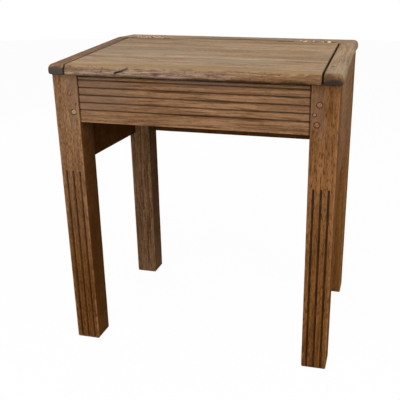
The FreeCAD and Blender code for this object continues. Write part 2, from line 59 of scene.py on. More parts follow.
AXES = {"X": Vector((1, 0, 0)), "Y": Vector((0, 1, 0)), "Z": Vector((0, 0, 1))}
SIDES = {"left": -1, "right": 1}
NEAR = 0.0005  # a point this near to a face lies on it
CLOSE = 0.0001  # the same beside fine cuts
PAST = 0.01  # how far boxes of painted shade and dirt reach past a piece
SKIN = 0.002  # how deep a layer over one face goes
JOINT_SHADE = 0.0028  # half the width of the painted shade along an open joint
SEAM_SOFT = 0.0014  # softness of the painted shade in the seams beside the lid
SMOOTH_ANGLE = math.radians(40.0)
hinge_line_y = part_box("rear_top_board")[0].y
board_top_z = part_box("rear_top_board")[1].z
under_top_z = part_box("rear_top_board")[0].z
top_thickness = board_top_z - under_top_z


def length(name, description, default):
    return bpy.props.FloatProperty(
        name=name, description=description, default=default, min=0.0, precision=5, unit="LENGTH"
    )


def colour(name, description, default):
    return bpy.props.FloatVectorProperty(
        name=name, description=description, default=default, size=3, min=0.0, max=1.0, subtype="COLOR"
    )


def share(name, description, default):
    return bpy.props.FloatProperty(
        name=name, description=description, default=default, min=0.0, max=1.0, subtype="FACTOR"
    )


def angle(name, description, default):
    return bpy.props.FloatProperty(name=name, description=description, default=default, subtype="ANGLE")


def power(name, description, default):
    return bpy.props.FloatProperty(name=name, description=description, default=default, min=0.0)


class DeskSizes(bpy.types.PropertyGroup):
    """Worn edges, mouldings, fittings and unevenness of the desk."""
    lid_slope: angle("Lid Slope", "Tilt of the lid and side strips", math.radians(5.0))
    arris: length("Arris", "Rounding of the legs' and rails' long edges", 0.0022)
    foot_wear: length("Foot Wear", "Rounding of the feet", 0.0035)
    foot_taper: length("Foot Taper", "Amount planed off the legs' inner faces at the floor", 0.001)
    taper_top: length("Taper Top", "Height at which the legs' taper starts", 0.422)
    flute_radius: length("Flute Radius", "Half the width of a flute on the front legs", 0.0025)
    flute_pitch: length("Flute Pitch", "Spacing of the flutes", 0.016)
    flute_top: length("Flute Top", "Height at which the flutes start to round off", 0.424)
    groove_depth: length("Groove Depth", "Depth of the front rail's grooves", 0.003)
    groove_width: length("Groove Width", "Width of the front rail's grooves", 0.0045)
    groove_pitch: length("Groove Pitch", "Spacing of the front rail's grooves", 0.0159)
    first_groove: length("First Groove", "Height of the lowest groove over the rail's lower edge", 0.027)
    rail_arris: length("Rail Arris", "Rounding of the rails' edges", 0.0016)
    rail_end: length("Rail End", "How far a rail's shown end goes into the leg", 0.003)
    nose: length("Nose", "Rounding of the lid's front edge", 0.013)
    nose_under: length("Nose Under", "Rounding under the lid's front edge", 0.005)
    lid_arris: length("Lid Arris", "Rounding of the lid's ends", 0.0014)
    seam_arris: length("Seam Arris", "Rounding of the joints between the lid's boards", 0.0003)
    strip_arris: length("Strip Arris", "Rounding of the strips' inner edges", 0.0008)
    fine_arris: length("Fine Arris", "Rounding of grooves and of the top's inner edges", 0.0007)
    outer_round: length("Outer Rounding", "Rounding of the top's outer edges", 0.0115)
    corner_round: length("Corner Rounding", "Rounding of the top's rear corners, seen from above", 0.015)
    under_round: length("Under Rounding", "Rounding under the top's outer edges", 0.004)
    unevenness: length("Unevenness", "How far the old faces dip in places", 0.0006)
    peg_gap: length("Peg Gap", "Dark gap round the pegs", 0.0012)
    hole_depth: length("Hole Depth", "Depth of the holes round pegs and screws", 0.003)
    hole_gap: length("Hole Gap", "Gap round the heads of screws and nails", 0.0002)
    pen_groove_radius: length("Pen Groove Radius", "Rounding of the pen groove's bottom", 0.008125)
    pen_groove_half: length("Pen Groove Half", "Half the pen groove's straight length", 0.108)
    pen_groove_depth: length("Pen Groove Depth", "Depth of the pen groove", 0.004)
    pen_groove_set: length("Pen Groove Set", "Pen groove's middle behind the hinge line", 0.020)
    leaf_thickness: length("Leaf Thickness", "Thickness of the hinges' leaves", 0.0018)
    leaf_gap: length("Leaf Gap", "Gap between the leaves of a closed hinge", 0.0015)
    knuckle_gap: length("Knuckle Gap", "Gap between a hinge's knuckles", 0.0003)
    slot_width: length("Slot Width", "Width of the slots in the screws", 0.0011)
    screw_radius: length("Screw Radius", "Half the width of a screw's head", 0.0035)
    screw_head: length("Screw Head", "Depth of a screw's countersunk head", 0.00175)
    nail_radius: length("Nail Radius", "Half the width of a nail's head", 0.003)


class OakFinish(bpy.types.PropertyGroup):
    """Colours of the oak."""
    frame_light: colour("Frame Light", "Pale wood of the legs and rails", (0.327, 0.179, 0.092))
    frame_dark: colour("Frame Dark", "Dark grain of the legs and rails", (0.112, 0.05, 0.0205))
    russet_light: colour("Russet Light", "Pale wood of the redder right legs", (0.265, 0.122, 0.046))
    russet_dark: colour("Russet Dark", "Dark grain of the right legs", (0.086, 0.031, 0.009))
    # Colours that the legs and side rails go to towards the floor
    foot_light: colour("Foot Light", "Pale wood near the floor, still stained", (0.222, 0.089, 0.023))
    foot_dark: colour("Foot Dark", "Dark grain near the floor", (0.072, 0.025, 0.005))
    top_light: colour("Top Light", "Pale wood of the lid and its surround", (0.515, 0.353, 0.218))
    top_dark: colour("Top Dark", "Dark grain of the lid and its surround", (0.26, 0.161, 0.088))
    inner_light: colour("Inner Light", "Pale wood inside the well", (0.27, 0.16, 0.09))
    inner_dark: colour("Inner Dark", "Dark grain inside the well", (0.13, 0.066, 0.032))
    peg_light: colour("Peg", "Pale wood of a newer peg", (0.45, 0.31, 0.18))
    pore: colour("Pores", "Dirt in the open pores", (0.045, 0.022, 0.010))
    grime_and_shade: colour("Grime", "Dirt in grooves and joints", (0.022, 0.012, 0.007))
    # Dark colour both for dirt and for painted shade in grooves, joints, seams and hollows
    ink: colour("Ink Stain", "Old stain on the strips' front ends", (0.05, 0.046, 0.048))
    gold: colour("Rubbed Band", "Rubbed wood over the lid's front edge", (0.355, 0.22, 0.10))
    grey: colour("Weathered", "Greyed wood on the top", (0.364, 0.288, 0.204))
    nose_left: colour("Nose Left", "Greyed front edge of the lid on the left", (0.30, 0.212, 0.155))
    nose_right: colour("Nose Right", "Brown front edge of the lid on the right", (0.18, 0.092, 0.038))
    dull: colour("Dull", "Greyed brown of the frame's front", (0.19, 0.112, 0.072))
    wine: colour("Wine Stain", "Small stain under the lid's front edge", (0.10, 0.022, 0.03))


class MetalFinish(bpy.types.PropertyGroup):
    """Colours of hinges and fasteners."""
    brass: colour("Brass", "Rubbed brass", (0.43, 0.28, 0.175))
    tarnish: colour("Tarnish", "Brown tarnish on the brass", (0.17, 0.092, 0.05))
    steel: colour("Steel", "Dull steel of nails and screws", (0.32, 0.30, 0.28))
    rust: colour("Rust", "Rust on nails and screws", (0.12, 0.05, 0.025))


class StudioLook(bpy.types.PropertyGroup):
    """Lamps, floor and camera."""
    key: power("Key", "Power of the large lamp overhead", 34.0)
    front: power("Front", "Power of the lamp in front", 36.0)
    side: power("Side", "Power of the lamp on the right", 31.0)
    back: power("Back", "Power of the lamp behind", 30.0)
    ambient: share("Ambient", "Strength of the light from all round", 0.15)
    floor: colour("Floor", "Colour of the floor as the desk is lit by it", (0.46, 0.45, 0.44))
    floor_seen: colour("Floor Seen", "Colour of the floor in its shadows and to the eye", (0.94, 0.94, 0.94))
    whiteness: share("Floor Whiteness", "How far the floor goes white to the camera", 0.97)
    lens: bpy.props.FloatProperty(name="Lens", description="Focal length", default=54.244, unit="CAMERA")
    place: bpy.props.FloatVectorProperty(
        name="Camera Place", description="Where the camera stands", default=(0.394996, -1.38067, 0.816666),
        size=3, subtype="TRANSLATION"
    )
    tilt: angle("Tilt", "Camera's look down", 0.339676)
    turn: angle("Turn", "Camera's turn to the left", 0.221407)
    roll: angle("Roll", "Camera's roll", 0.006988)
    shift: bpy.props.FloatVectorProperty(
        name="Shift", description="Camera's shift across and up", default=(-0.13, -0.001443), size=2
    )


# Modelling by hand

def deselect_objects():
    bpy.ops.object.select_all(action="DESELECT")


def make_active(piece):
    deselect_objects()
    piece.select_set(True)
    bpy.context.view_layer.objects.active = piece


@contextmanager
def editing(piece):
    """Edit mode on one piece, and object mode again after it."""
    make_active(piece)
    bpy.ops.object.mode_set(mode="EDIT")
    yield
    bpy.ops.object.mode_set(mode="OBJECT")


def settle(piece, name):
    """Names a new primitive and puts its place, turn and size into its mesh."""
    piece.name = name
    piece.data.name = name
    bpy.ops.object.transform_apply(location=True, rotation=True, scale=True)
    return piece


def add_block(name, low, high):
    deselect_objects()
    low, high = Vector(low), Vector(high)
    bpy.ops.mesh.primitive_cube_add(size=1.0, location=(low + high) / 2, scale=high - low)
    return settle(bpy.context.active_object, name)


def add_rod(name, start, end, radius, sides):
    """Cylinder between two points."""
    deselect_objects()
    start, end = Vector(start), Vector(end)
    turn = (end - start).to_track_quat("Z", "Y").to_euler()
    bpy.ops.mesh.primitive_cylinder_add(
        vertices=sides, radius=radius, depth=(end - start).length, location=(start + end) / 2, rotation=turn
    )
    return settle(bpy.context.active_object, name)


def pick(piece, kind, test):
    """Selects only the vertices, edges or faces that pass the test."""
    bpy.ops.mesh.select_mode(type=kind)
    bpy.ops.mesh.select_all(action="DESELECT")
    mesh = bmesh.from_edit_mesh(piece.data)
    mesh.normal_update()
    for element in {"VERT": mesh.verts, "EDGE": mesh.edges, "FACE": mesh.faces}[kind]:
        element.select_set(bool(test(element)))
    mesh.select_flush_mode()
    bmesh.update_edit_mesh(piece.data)


def pick_points(piece, test):
    pick(piece, "VERT", lambda vertex: test(vertex.co))


def both(edge, test):
    """Whether both ends of an edge pass a test."""
    return all(test(end.co) for end in edge.verts)


def is_sharp(edge, least):
    """Whether the faces beside an edge meet at more than an angle."""
    return edge.is_manifold and edge.calc_face_angle(0.0) > least


def looks_up(face):
    return face.normal.z > 0.9


def looks_down(face):
    return face.normal.z < -0.9


def runs_along(edge, axis):
    along = (edge.verts[1].co - edge.verts[0].co).normalized()
    return abs(along.dot(AXES[axis])) > 0.97


def slice_across(axis, places):
    """Cuts new edges round the piece, square to an axis."""
    for place in places:
        bpy.ops.mesh.select_all(action="SELECT")
        bpy.ops.mesh.bisect(plane_co=AXES[axis] * place, plane_no=AXES[axis])


def cut_rows(axis, low, high, step):
    """Cuts even rows of edges between two ends, about a step apart."""
    count = max(1, round((high - low) / step))
    slice_across(axis, [low + (high - low) * index / count for index in range(1, count)])


def shift(x=0.0, y=0.0, z=0.0):
    bpy.ops.transform.translate(value=(x, y, z))


def squeeze(x, y, z, centre=(0, 0, 0)):
    bpy.ops.transform.resize(value=(x, y, z), center_override=centre)


def draw_out(z):
    """Pulls the picked faces up or down into a new length of the piece."""
    bpy.ops.mesh.extrude_region_move(TRANSFORM_OT_translate={"value": (0, 0, z)})


def round_edges(piece, radius, segments, test):
    """Rounds the edges that pass the test."""
    pick(piece, "EDGE", test)
    bpy.ops.mesh.bevel(offset=radius, segments=segments, profile=0.5, affect="EDGES")


def round_off(piece, radius, segments, *tests):
    """Rounds the edges of which both ends pass one of the tests."""
    round_edges(piece, radius, segments, lambda edge: any(both(edge, test) for test in tests))


def plane_to_slope(y, z):
    """Planes the piece's top off along the lid's slope, through a height at one depth."""
    slope = math.tan(bpy.context.scene.desk_sizes.lid_slope)
    bpy.ops.mesh.select_all(action="SELECT")
    bpy.ops.mesh.bisect(plane_co=(0, y, z), plane_no=(0, -slope, 1), use_fill=True, clear_outer=True)


def apply_modifier(piece, modifier):
    make_active(piece)
    bpy.ops.object.modifier_apply(modifier=modifier.name)


def make_uneven(piece, depth, patch):
    """Lets the faces dip a little here and there, never outwards."""
    texture = bpy.data.textures.new(f"{piece.name}_dips", "CLOUDS")
    texture.noise_scale = patch
    texture.noise_depth = 2
    dips = piece.modifiers.new("dips", "DISPLACE")
    dips.texture = texture
    dips.texture_coords = "LOCAL"
    dips.strength = depth
    dips.mid_level = 1.0
    apply_modifier(piece, dips)
    bpy.data.textures.remove(texture)


def carve(piece, cutter):
    """Cuts the cutter's shape out of the piece and throws the cutter away."""
    cut = piece.modifiers.new("cut", "BOOLEAN")
    cut.operation = "DIFFERENCE"
    cut.solver = "MANIFOLD"
    cut.object = cutter
    apply_modifier(piece, cut)
    bpy.data.objects.remove(cutter)
    if not piece.data.polygons:
        raise RuntimeError(f"The cut left nothing of {piece.name}")


def drill(piece, holes, sides=20):
    """Sinks round holes, each given by its mouth, the way in, its radius and its depth."""
    above = 0.003
    rods = [
        add_rod("drill", mouth - way * above, mouth + way * depth, radius, sides)
        for mouth, way, radius, depth in holes
    ]
    carve(piece, join(rods, "drill"))


def copy_piece(piece, name, matrix):
    """Copy with its own mesh, put in its place."""
    made = piece.copy()
    made.data = piece.data.copy()
    made.name = name
    made.data.name = name
    bpy.context.collection.objects.link(made)
    made.data.transform(matrix)
    return made


def set_out(pattern, name, places):
    """One piece with a copy of a pattern at each place, given by its seat, the way it faces and its turn."""
    copies = []
    for seat, way, turn in places:
        matrix = Matrix.Translation(seat) @ way.to_track_quat("Z", "Y").to_matrix().to_4x4()
        copies.append(copy_piece(pattern, name, matrix @ Matrix.Rotation(turn, 4, "Z")))
    bpy.data.objects.remove(pattern)
    return join(copies, name)


def islands(node):
    """Boxes of the separate pieces in one node of the frame, from left to right."""
    mesh = bmesh.new()
    mesh.from_mesh(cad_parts[node].data)
    bmesh.ops.remove_doubles(mesh, verts=mesh.verts, dist=0.00001)
    left = set(mesh.verts)
    boxes = []
    while left:
        reached = [left.pop()]
        for vertex in reached:
            near = {edge.other_vert(vertex) for edge in vertex.link_edges} & left
            left -= near
            reached.extend(near)
        sides = list(zip(*(vertex.co for vertex in reached)))
        boxes.append((Vector(map(min, sides)), Vector(map(max, sides))))
    mesh.free()
    return sorted(boxes, key=lambda box: tuple(box[0]))


def join(pieces, name):
    make_active(pieces[0])
    for piece in pieces[1:]:
        piece.select_set(True)
    if len(pieces) > 1:
        bpy.ops.object.join()
    joined = bpy.context.active_object
    joined.name = name
    joined.data.name = name
    return joined


def dress(piece, material):
    piece.data.materials.clear()
    piece.data.materials.append(material)


def hand_over(piece, node, material, body="frame"):
    """Gives a modelled piece its finish and its body, and hides the node that it stands for."""
    make_active(piece)
    bpy.ops.object.shade_smooth_by_angle(angle=SMOOTH_ANGLE)
    dress(piece, material)
    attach(piece, body)
    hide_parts(node)


def drop_at(y):
    """How far the sloping top lies under the level rear board at depth y."""
    return max(hinge_line_y - y, 0.0) * math.tan(bpy.context.scene.desk_sizes.lid_slope)


def under_z(co):
    """Height of the sloping top's underside over or under a point."""
    return under_top_z - drop_at(co.y)


def level_y(y):
    """Depth of a place on the sloping top once the top is turned level about the hinge line."""
    return hinge_line_y - (hinge_line_y - y) / math.cos(bpy.context.scene.desk_sizes.lid_slope)


def levelled_box(low, high):
    """Corners of a piece of the sloping top once the top is turned level."""
    return Vector((low.x, level_y(low.y), board_top_z - 0.03)), Vector((high.x, high.y, board_top_z))


def layer(low, high, axis, place, half):
    """Corners of a thin layer across a piece, on both sides of a place along one axis."""
    low = low - Vector((PAST, PAST, PAST))
    high = high + Vector((PAST, PAST, PAST))
    index = "XYZ".index(axis)
    low[index] = place - half
    high[index] = place + half
    return low, high


# Shader nodes

def is_socket(value):
    return isinstance(value, bpy.types.NodeSocket)


def set_inputs(node, inputs):
    """Links an input to another node's output, or sets its value."""
    for name, source in inputs.items():
        if is_socket(source):
            node.id_data.links.new(source, node.inputs[name])
        else:
            node.inputs[name].default_value = source
    return node


def add_node(kind, inputs, tree=None, **settings):
    """New node in the tree of the sockets that it is linked to, or in a given tree."""
    tree = tree or next(value.id_data for value in inputs.values() if is_socket(value))
    node = tree.nodes.new(kind)
    for name, value in settings.items():
        setattr(node, name, value)
    return set_inputs(node, inputs)


def calc(operation, *values, clamp=False):
    """Result of one arithmetic step on values or sockets."""
    node = add_node("ShaderNodeMath", dict(enumerate(values)), operation=operation, use_clamp=clamp)
    return node.outputs["Value"]


times = partial(calc, "MULTIPLY")
minus = partial(calc, "SUBTRACT")
times_plus = partial(calc, "MULTIPLY_ADD")


def vector_calc(operation, *values):
    node = add_node("ShaderNodeVectorMath", dict(enumerate(values)), operation=operation)
    return node.outputs["Value" if operation == "LENGTH" else "Vector"]


vector_times = partial(vector_calc, "MULTIPLY")
vector_minus = partial(vector_calc, "SUBTRACT")


def scaled(vector, factor):
    node = add_node("ShaderNodeVectorMath", {0: vector, "Scale": factor}, operation="SCALE")
    return node.outputs["Vector"]


def turned(vector, axis, turn, centre=(0.0, 0.0, 0.0)):
    """Vector turned about an axis through a centre."""
    inputs = {"Vector": vector, "Center": centre, "Angle": turn}
    return add_node("ShaderNodeVectorRotate", inputs, rotation_type=f"{axis}_AXIS").outputs[0]


def parts(vector):
    return add_node("ShaderNodeSeparateXYZ", {0: vector}).outputs


def noise(vector, stretch, detail=2.0, roughness=0.5):
    """Noise with so many waves in a metre along each axis."""
    point = vector_times(vector, stretch)
    inputs = {"Vector": point, "Scale": 1.0, "Detail": detail, "Roughness": roughness}
    return add_node("ShaderNodeTexNoise", inputs).outputs["Fac"]


def ramp(value, low, high, start=0.0, end=1.0, smooth=True):
    """Value going from start to end while the input goes from low to high."""
    inputs = {"Value": value, "From Min": low, "From Max": high, "To Min": start, "To Max": end}
    kind = "SMOOTHSTEP" if smooth else "LINEAR"
    return add_node("ShaderNodeMapRange", inputs, interpolation_type=kind).outputs["Result"]


def evenly(mask, start, end):
    """Value going straight from start to end with a mask."""
    return ramp(mask, 0.0, 1.0, start, end, smooth=False)


def spots(vector, stretch, low, high, detail=3.0, roughness=0.6):
    """Mask of spots or streaks, where the noise goes from low to high."""
    return ramp(noise(vector, stretch, detail, roughness), low, high)


def blend(mask, under, over):
    """Colour that goes from under to over with the mask."""
    node = add_node("ShaderNodeMix", {0: mask}, data_type="RGBA", clamp_factor=True)
    sockets = [socket for socket in node.inputs if socket.type == "RGBA"]
    for socket, source in zip(sockets, (under, over)):
        if is_socket(source):
            node.id_data.links.new(source, socket)
        else:
            socket.default_value = (*source, 1.0)
    return next(socket for socket in node.outputs if socket.type == "RGBA")


def tint(base, mask, strength, paint):
    """Colour with a paint laid over it inside the mask."""
    return blend(times(mask, strength), base, paint)


def new_group(name, inputs, outputs):
    """Empty shader group with named sockets, and its input and output nodes."""
    tree = bpy.data.node_groups.new(name, "ShaderNodeTree")
    for label, kind, default in inputs:
        socket = tree.interface.new_socket(label, in_out="INPUT", socket_type=f"NodeSocket{kind}")
        if default is not None:
            socket.default_value = default
    for label, kind in outputs:
        tree.interface.new_socket(label, in_out="OUTPUT", socket_type=f"NodeSocket{kind}")
    start = tree.nodes.new("NodeGroupInput")
    finish = tree.nodes.new("NodeGroupOutput")
    return start.outputs, finish


BOX_SOCKETS = (("Vector", "Vector", None), ("Low", "Vector", None), ("High", "Vector", None))


def box_depths(point, low, high):
    """How deep a point lies inside a box along X, Y and Z."""
    centre = scaled(vector_calc("ADD", low, high), 0.5)
    half = vector_minus(high, centre)
    away = vector_calc("ABSOLUTE", vector_minus(point, centre))
    depth = parts(vector_minus(half, away))
    return [depth[axis] for axis in "XYZ"]


def oak_grain_group():
    """Growth rings, streaks, dark lines, flecks and pores of oak whose grain runs along X."""
    given, finish = new_group(
        "Oak Grain",
        [
            ("Vector", "Vector", None),
            ("Light", "Color", (0.3, 0.2, 0.1, 1)),
            ("Dark", "Color", (0.1, 0.05, 0.02, 1)),
            ("Pore", "Color", (0.05, 0.03, 0.01, 1)),
            ("Ring Size", "Float", 0.0055),
            ("Figure", "Float", 0.4),
            ("Streaks", "Float", 0.6),
            ("Streak Width", "Float", 0.009),
            ("Lines", "Float", 0.4),
            ("Flecks", "Float", 0.3),
            ("Speckle", "Float", 0.3),
        ],
        [("Color", "Color"), ("Height", "Float")],
    )
    point = given["Vector"]
    drift = noise(point, (3.0, 11.0, 11.0), 2.0)
    wander = noise(point, (14.0, 60.0, 60.0), 2.0)
    radius = vector_calc("LENGTH", vector_times(point, (0.0, 1.0, 1.0)))
    radius = times_plus(drift, 0.032, radius)
    radius = times_plus(wander, 0.0035, radius)
    ring = calc("DIVIDE", radius, given["Ring Size"])
    part = calc("FRACT", ring)
    early = calc("MAXIMUM", ramp(part, 0.0, 0.55, 1.0, 0.0), ramp(part, 0.93, 1.0))
    chance = add_node("ShaderNodeTexWhiteNoise", {"W": calc("FLOOR", ring)}, noise_dimensions="1D")
    early = times(early, evenly(chance.outputs["Value"], 0.35, 1.0))
    streak_point = scaled(point, calc("DIVIDE", 1.0, given["Streak Width"]))
    broad = noise(streak_point, (0.045, 1.0, 1.0), 3.0, 0.55)
    middle = noise(streak_point, (0.11, 2.6, 2.6), 2.0, 0.55)
    fine = noise(point, (22.0, 620.0, 620.0), 3.0, 0.6)
    cloud = noise(point, (4.0, 10.0, 10.0), 3.0, 0.5)
    line = spots(point, (7.0, 250.0, 250.0), 0.57, 0.68, 2.0, 0.5)
    fleck = spots(point, (62.0, 300.0, 300.0), 0.51, 0.66, 2.0)
    pore = spots(point, (55.0, 1900.0, 1900.0), 0.56, 0.66, 1.0, 0.5)
    pore = times(pore, ramp(early, 0.0, 0.8, 0.3, 1.0))
    streak = times(ramp(broad, 0.36, 0.66), 0.62)
    streak = times_plus(ramp(middle, 0.35, 0.68), 0.42, streak)
    streak = times_plus(ramp(fine, 0.35, 0.7), 0.28, streak)
    tone = times(early, given["Figure"])
    tone = times_plus(streak, given["Streaks"], tone)
    grit = minus(noise(point, (130.0, 380.0, 380.0), 2.0, 0.6), 0.5)
    tone = times_plus(grit, times(given["Speckle"], 4.0), tone)
    tone = calc("ADD", ramp(cloud, 0.3, 0.7, -0.16, 0.16), tone, clamp=True)
    shade = blend(tone, given["Light"], given["Dark"])
    line = times(line, given["Lines"])
    shade = blend(line, shade, given["Pore"])
    fleck = times(fleck, given["Flecks"])
    shade = blend(fleck, shade, given["Pore"])
    shade = tint(shade, pore, 0.5, given["Pore"])
    height = times_plus(pore, -0.6, times(early, -0.35))
    height = times_plus(fine, 0.25, height)
    height = times_plus(calc("ADD", fleck, line), -0.6, height)
    return set_inputs(finish, {"Color": shade, "Height": height}).id_data


def edge_wear_group():
    """Mask along the edges of a box, broken up by noise."""
    given, finish = new_group("Edge Wear", [*BOX_SOCKETS, ("Width", "Float", 0.006)], [("Mask", "Float")])
    point = given["Vector"]
    across, deep, up = box_depths(point, given["Low"], given["High"])
    least = calc("MINIMUM", across, deep)
    most = calc("MAXIMUM", across, deep)
    from_edge = calc("MAXIMUM", least, calc("MINIMUM", most, up))
    rough = noise(point, (45.0, 45.0, 45.0), 4.0, 0.65)
    reach = times(given["Width"], ramp(rough, 0.35, 0.7, 0.25, 1.6))
    mask = minus(1.0, calc("DIVIDE", from_edge, reach), clamp=True)
    return set_inputs(finish, {"Mask": calc("SMOOTH_MIN", mask, 1.0, 0.1)}).id_data


def hollow_group():
    """Mask inside a box, for dirt and painted shade in grooves and joints."""
    given, finish = new_group("Hollow", [*BOX_SOCKETS, ("Soft", "Float", 0.001)], [("Mask", "Float")])
    across, deep, up = box_depths(given["Vector"], given["Low"], given["High"])
    inside = calc("MINIMUM", calc("MINIMUM", across, deep), up)
    patchy = ramp(noise(given["Vector"], (30.0, 30.0, 30.0), 3.0, 0.6), 0.3, 0.6, 0.78, 1.0)
    mask = calc("DIVIDE", inside, given["Soft"], clamp=True)
    return set_inputs(finish, {"Mask": times(mask, patchy)}).id_data


def stain_group():
    """Ragged oval patch round a place."""
    inputs = [("Vector", "Vector", None), ("Centre", "Vector", None), ("Size", "Vector", (0.1, 0.1, 0.1))]
    given, finish = new_group("Stain", inputs, [("Mask", "Float")])
    away = vector_minus(given["Vector"], given["Centre"])
    away = vector_calc("LENGTH", vector_calc("DIVIDE", away, given["Size"]))
    spread = vector_calc("DIVIDE", given["Vector"], given["Size"])
    ragged = noise(spread, (1.3, 1.3, 1.3), 4.0, 0.6)
    away = times_plus(minus(ragged, 0.5), 1.6, away)
    return set_inputs(finish, {"Mask": ramp(away, 0.35, 1.0, 1.0, 0.0)}).id_data


def marks_group():
    """Scratches, dents and worn patches from use."""
    given, finish = new_group(
        "Handling Marks",
        [("Vector", "Vector", None), ("Patch Size", "Float", 0.1)],
        [("Patches", "Float"), ("Scratches", "Float"), ("Dents", "Float")],
    )
    point = given["Vector"]
    size = calc("DIVIDE", 1.0, given["Patch Size"])
    spread = add_node("ShaderNodeCombineXYZ", {0: times(size, 0.6), 1: size, 2: size})
    patches = spots(point, spread.outputs[0], 0.42, 0.68, 4.0)
    scratches = 0.0
    for turn, stretch in ((0.5, (9.0, 900.0, 9.0)), (-0.9, (7.0, 700.0, 7.0)), (1.3, (8.0, 1100.0, 8.0))):
        aslant = turned(point, "Z", turn)
        line = spots(aslant, stretch, 0.68, 0.74, 1.0, 0.4)
        broken = spots(aslant, (26.0, 60.0, 60.0), 0.54, 0.66, 2.0, 0.5)
        scratches = calc("MAXIMUM", scratches, times(line, broken))
    dents = spots(point, (70.0, 70.0, 70.0), 0.68, 0.80, 1.0, 0.4)
    return set_inputs(finish, {"Patches": patches, "Scratches": scratches, "Dents": dents}).id_data


def use_group(name, make, inputs):
    """Places a shared group, which is built the first time."""
    group = bpy.data.node_groups.get(name) or make()
    return add_node("ShaderNodeGroup", inputs, node_tree=group).outputs


def edge_wear(point, low, high, width):
    inputs = {"Vector": point, "Low": low, "High": high, "Width": width}
    return use_group("Edge Wear", edge_wear_group, inputs)["Mask"]


def hollow(point, low, high, soft):
    inputs = {"Vector": point, "Low": low, "High": high, "Soft": soft}
    return use_group("Hollow", hollow_group, inputs)["Mask"]


def handling_marks(point, patch):
    return use_group("Handling Marks", marks_group, {"Vector": point, "Patch Size": patch})


GRAIN_TURNS = {"X": (0.0, 0.0, 0.0), "Y": (0.0, 0.0, -math.pi / 2), "Z": (0.0, math.pi / 2, 0.0)}


def start_material(name):
    """Empty material with its shader, and the object's own coordinates."""
    material = bpy.data.materials.new(name)
    material.use_nodes = True
    tree = material.node_tree
    tree.nodes.clear()
    shader = add_node("ShaderNodeBsdfPrincipled", {}, tree)
    add_node("ShaderNodeOutputMaterial", {"Surface": shader.outputs[0]})
    point = add_node("ShaderNodeTexCoord", {}, tree).outputs["Object"]
    return material, shader, point


def levelled(point):
    """Coordinates turned about the hinge line, in which the sloping top lies level."""
    slope = bpy.context.scene.desk_sizes.lid_slope
    return turned(point, "X", -slope, (0.0, hinge_line_y, board_top_z))


def along_grain(point, axis, pith):
    """Coordinates from the tree's heart, with X along the grain."""
    inputs = {"Vector": vector_minus(point, pith), "Rotation": GRAIN_TURNS[axis]}
    return add_node("ShaderNodeMapping", inputs).outputs[0]


def wood(point, axis, pith, light, dark, **grain):
    """Oak along one axis, with the tree's heart at a place beside the piece."""
    oak = bpy.context.scene.oak_finish
    inputs = {"Vector": along_grain(point, axis, pith), "Pore": (*oak.pore, 1)}
    for name, paint in (("Light", light), ("Dark", dark)):
        inputs[name] = paint if is_socket(paint) else (*paint, 1)
    inputs.update({name.replace("_", " ").title(): value for name, value in grain.items()})
    return use_group("Oak Grain", oak_grain_group, inputs)


def washed(point, base, boxes):
    """Tints the colour inside boxes, each with its corners, softness, colour and strength."""
    for low, high, soft, paint, strength in boxes:
        base = tint(base, hollow(point, low, high, soft), strength, paint)
    return base


def paint_dirt_and_shade(point, base, boxes):
    """Darkens the colour inside boxes with grime, for dirt and for painted shade, each with its low and high
    corner and the softness of its edge.
    """
    oak = bpy.context.scene.oak_finish
    return washed(point, base, [(*box, oak.grime_and_shade, 0.9) for box in boxes])


def stained(point, base, stains):
    """Lays ragged stains over the colour, each with its place, size, colour and strength."""
    for centre, size, paint, strength in stains:
        stain = use_group("Stain", stain_group, {"Vector": point, "Centre": centre, "Size": size})
        base = tint(base, stain["Mask"], strength, paint)
    return base


def finish_wood(shader, base, height, roughness, bump=0.0006):
    """Joins colour, gloss and relief to the shader; dry old oak hardly shines."""
    relief = add_node("ShaderNodeBump", {"Height": height, "Distance": bump, "Strength": 0.8})
    inputs = {"Base Color": base, "Roughness": roughness, "Normal": relief.outputs[0]}
    set_inputs(shader, {**inputs, "Specular IOR Level": 0.004})


def between(one, other, part):
    """Colour that lies part of the way from one to the other."""
    return [first + (second - first) * part for first, second in zip(one, other)]


FRAME_GRAIN = {"figure": 0.3, "streaks": 0.62, "streak_width": 0.008, "lines": 0.35, "flecks": 0.35}
TOP_GRAIN = {
    "ring_size": 0.0075, "figure": 0.22, "streaks": 0.72, "streak_width": 0.022, "lines": 0.4, "flecks": 0.12,
}


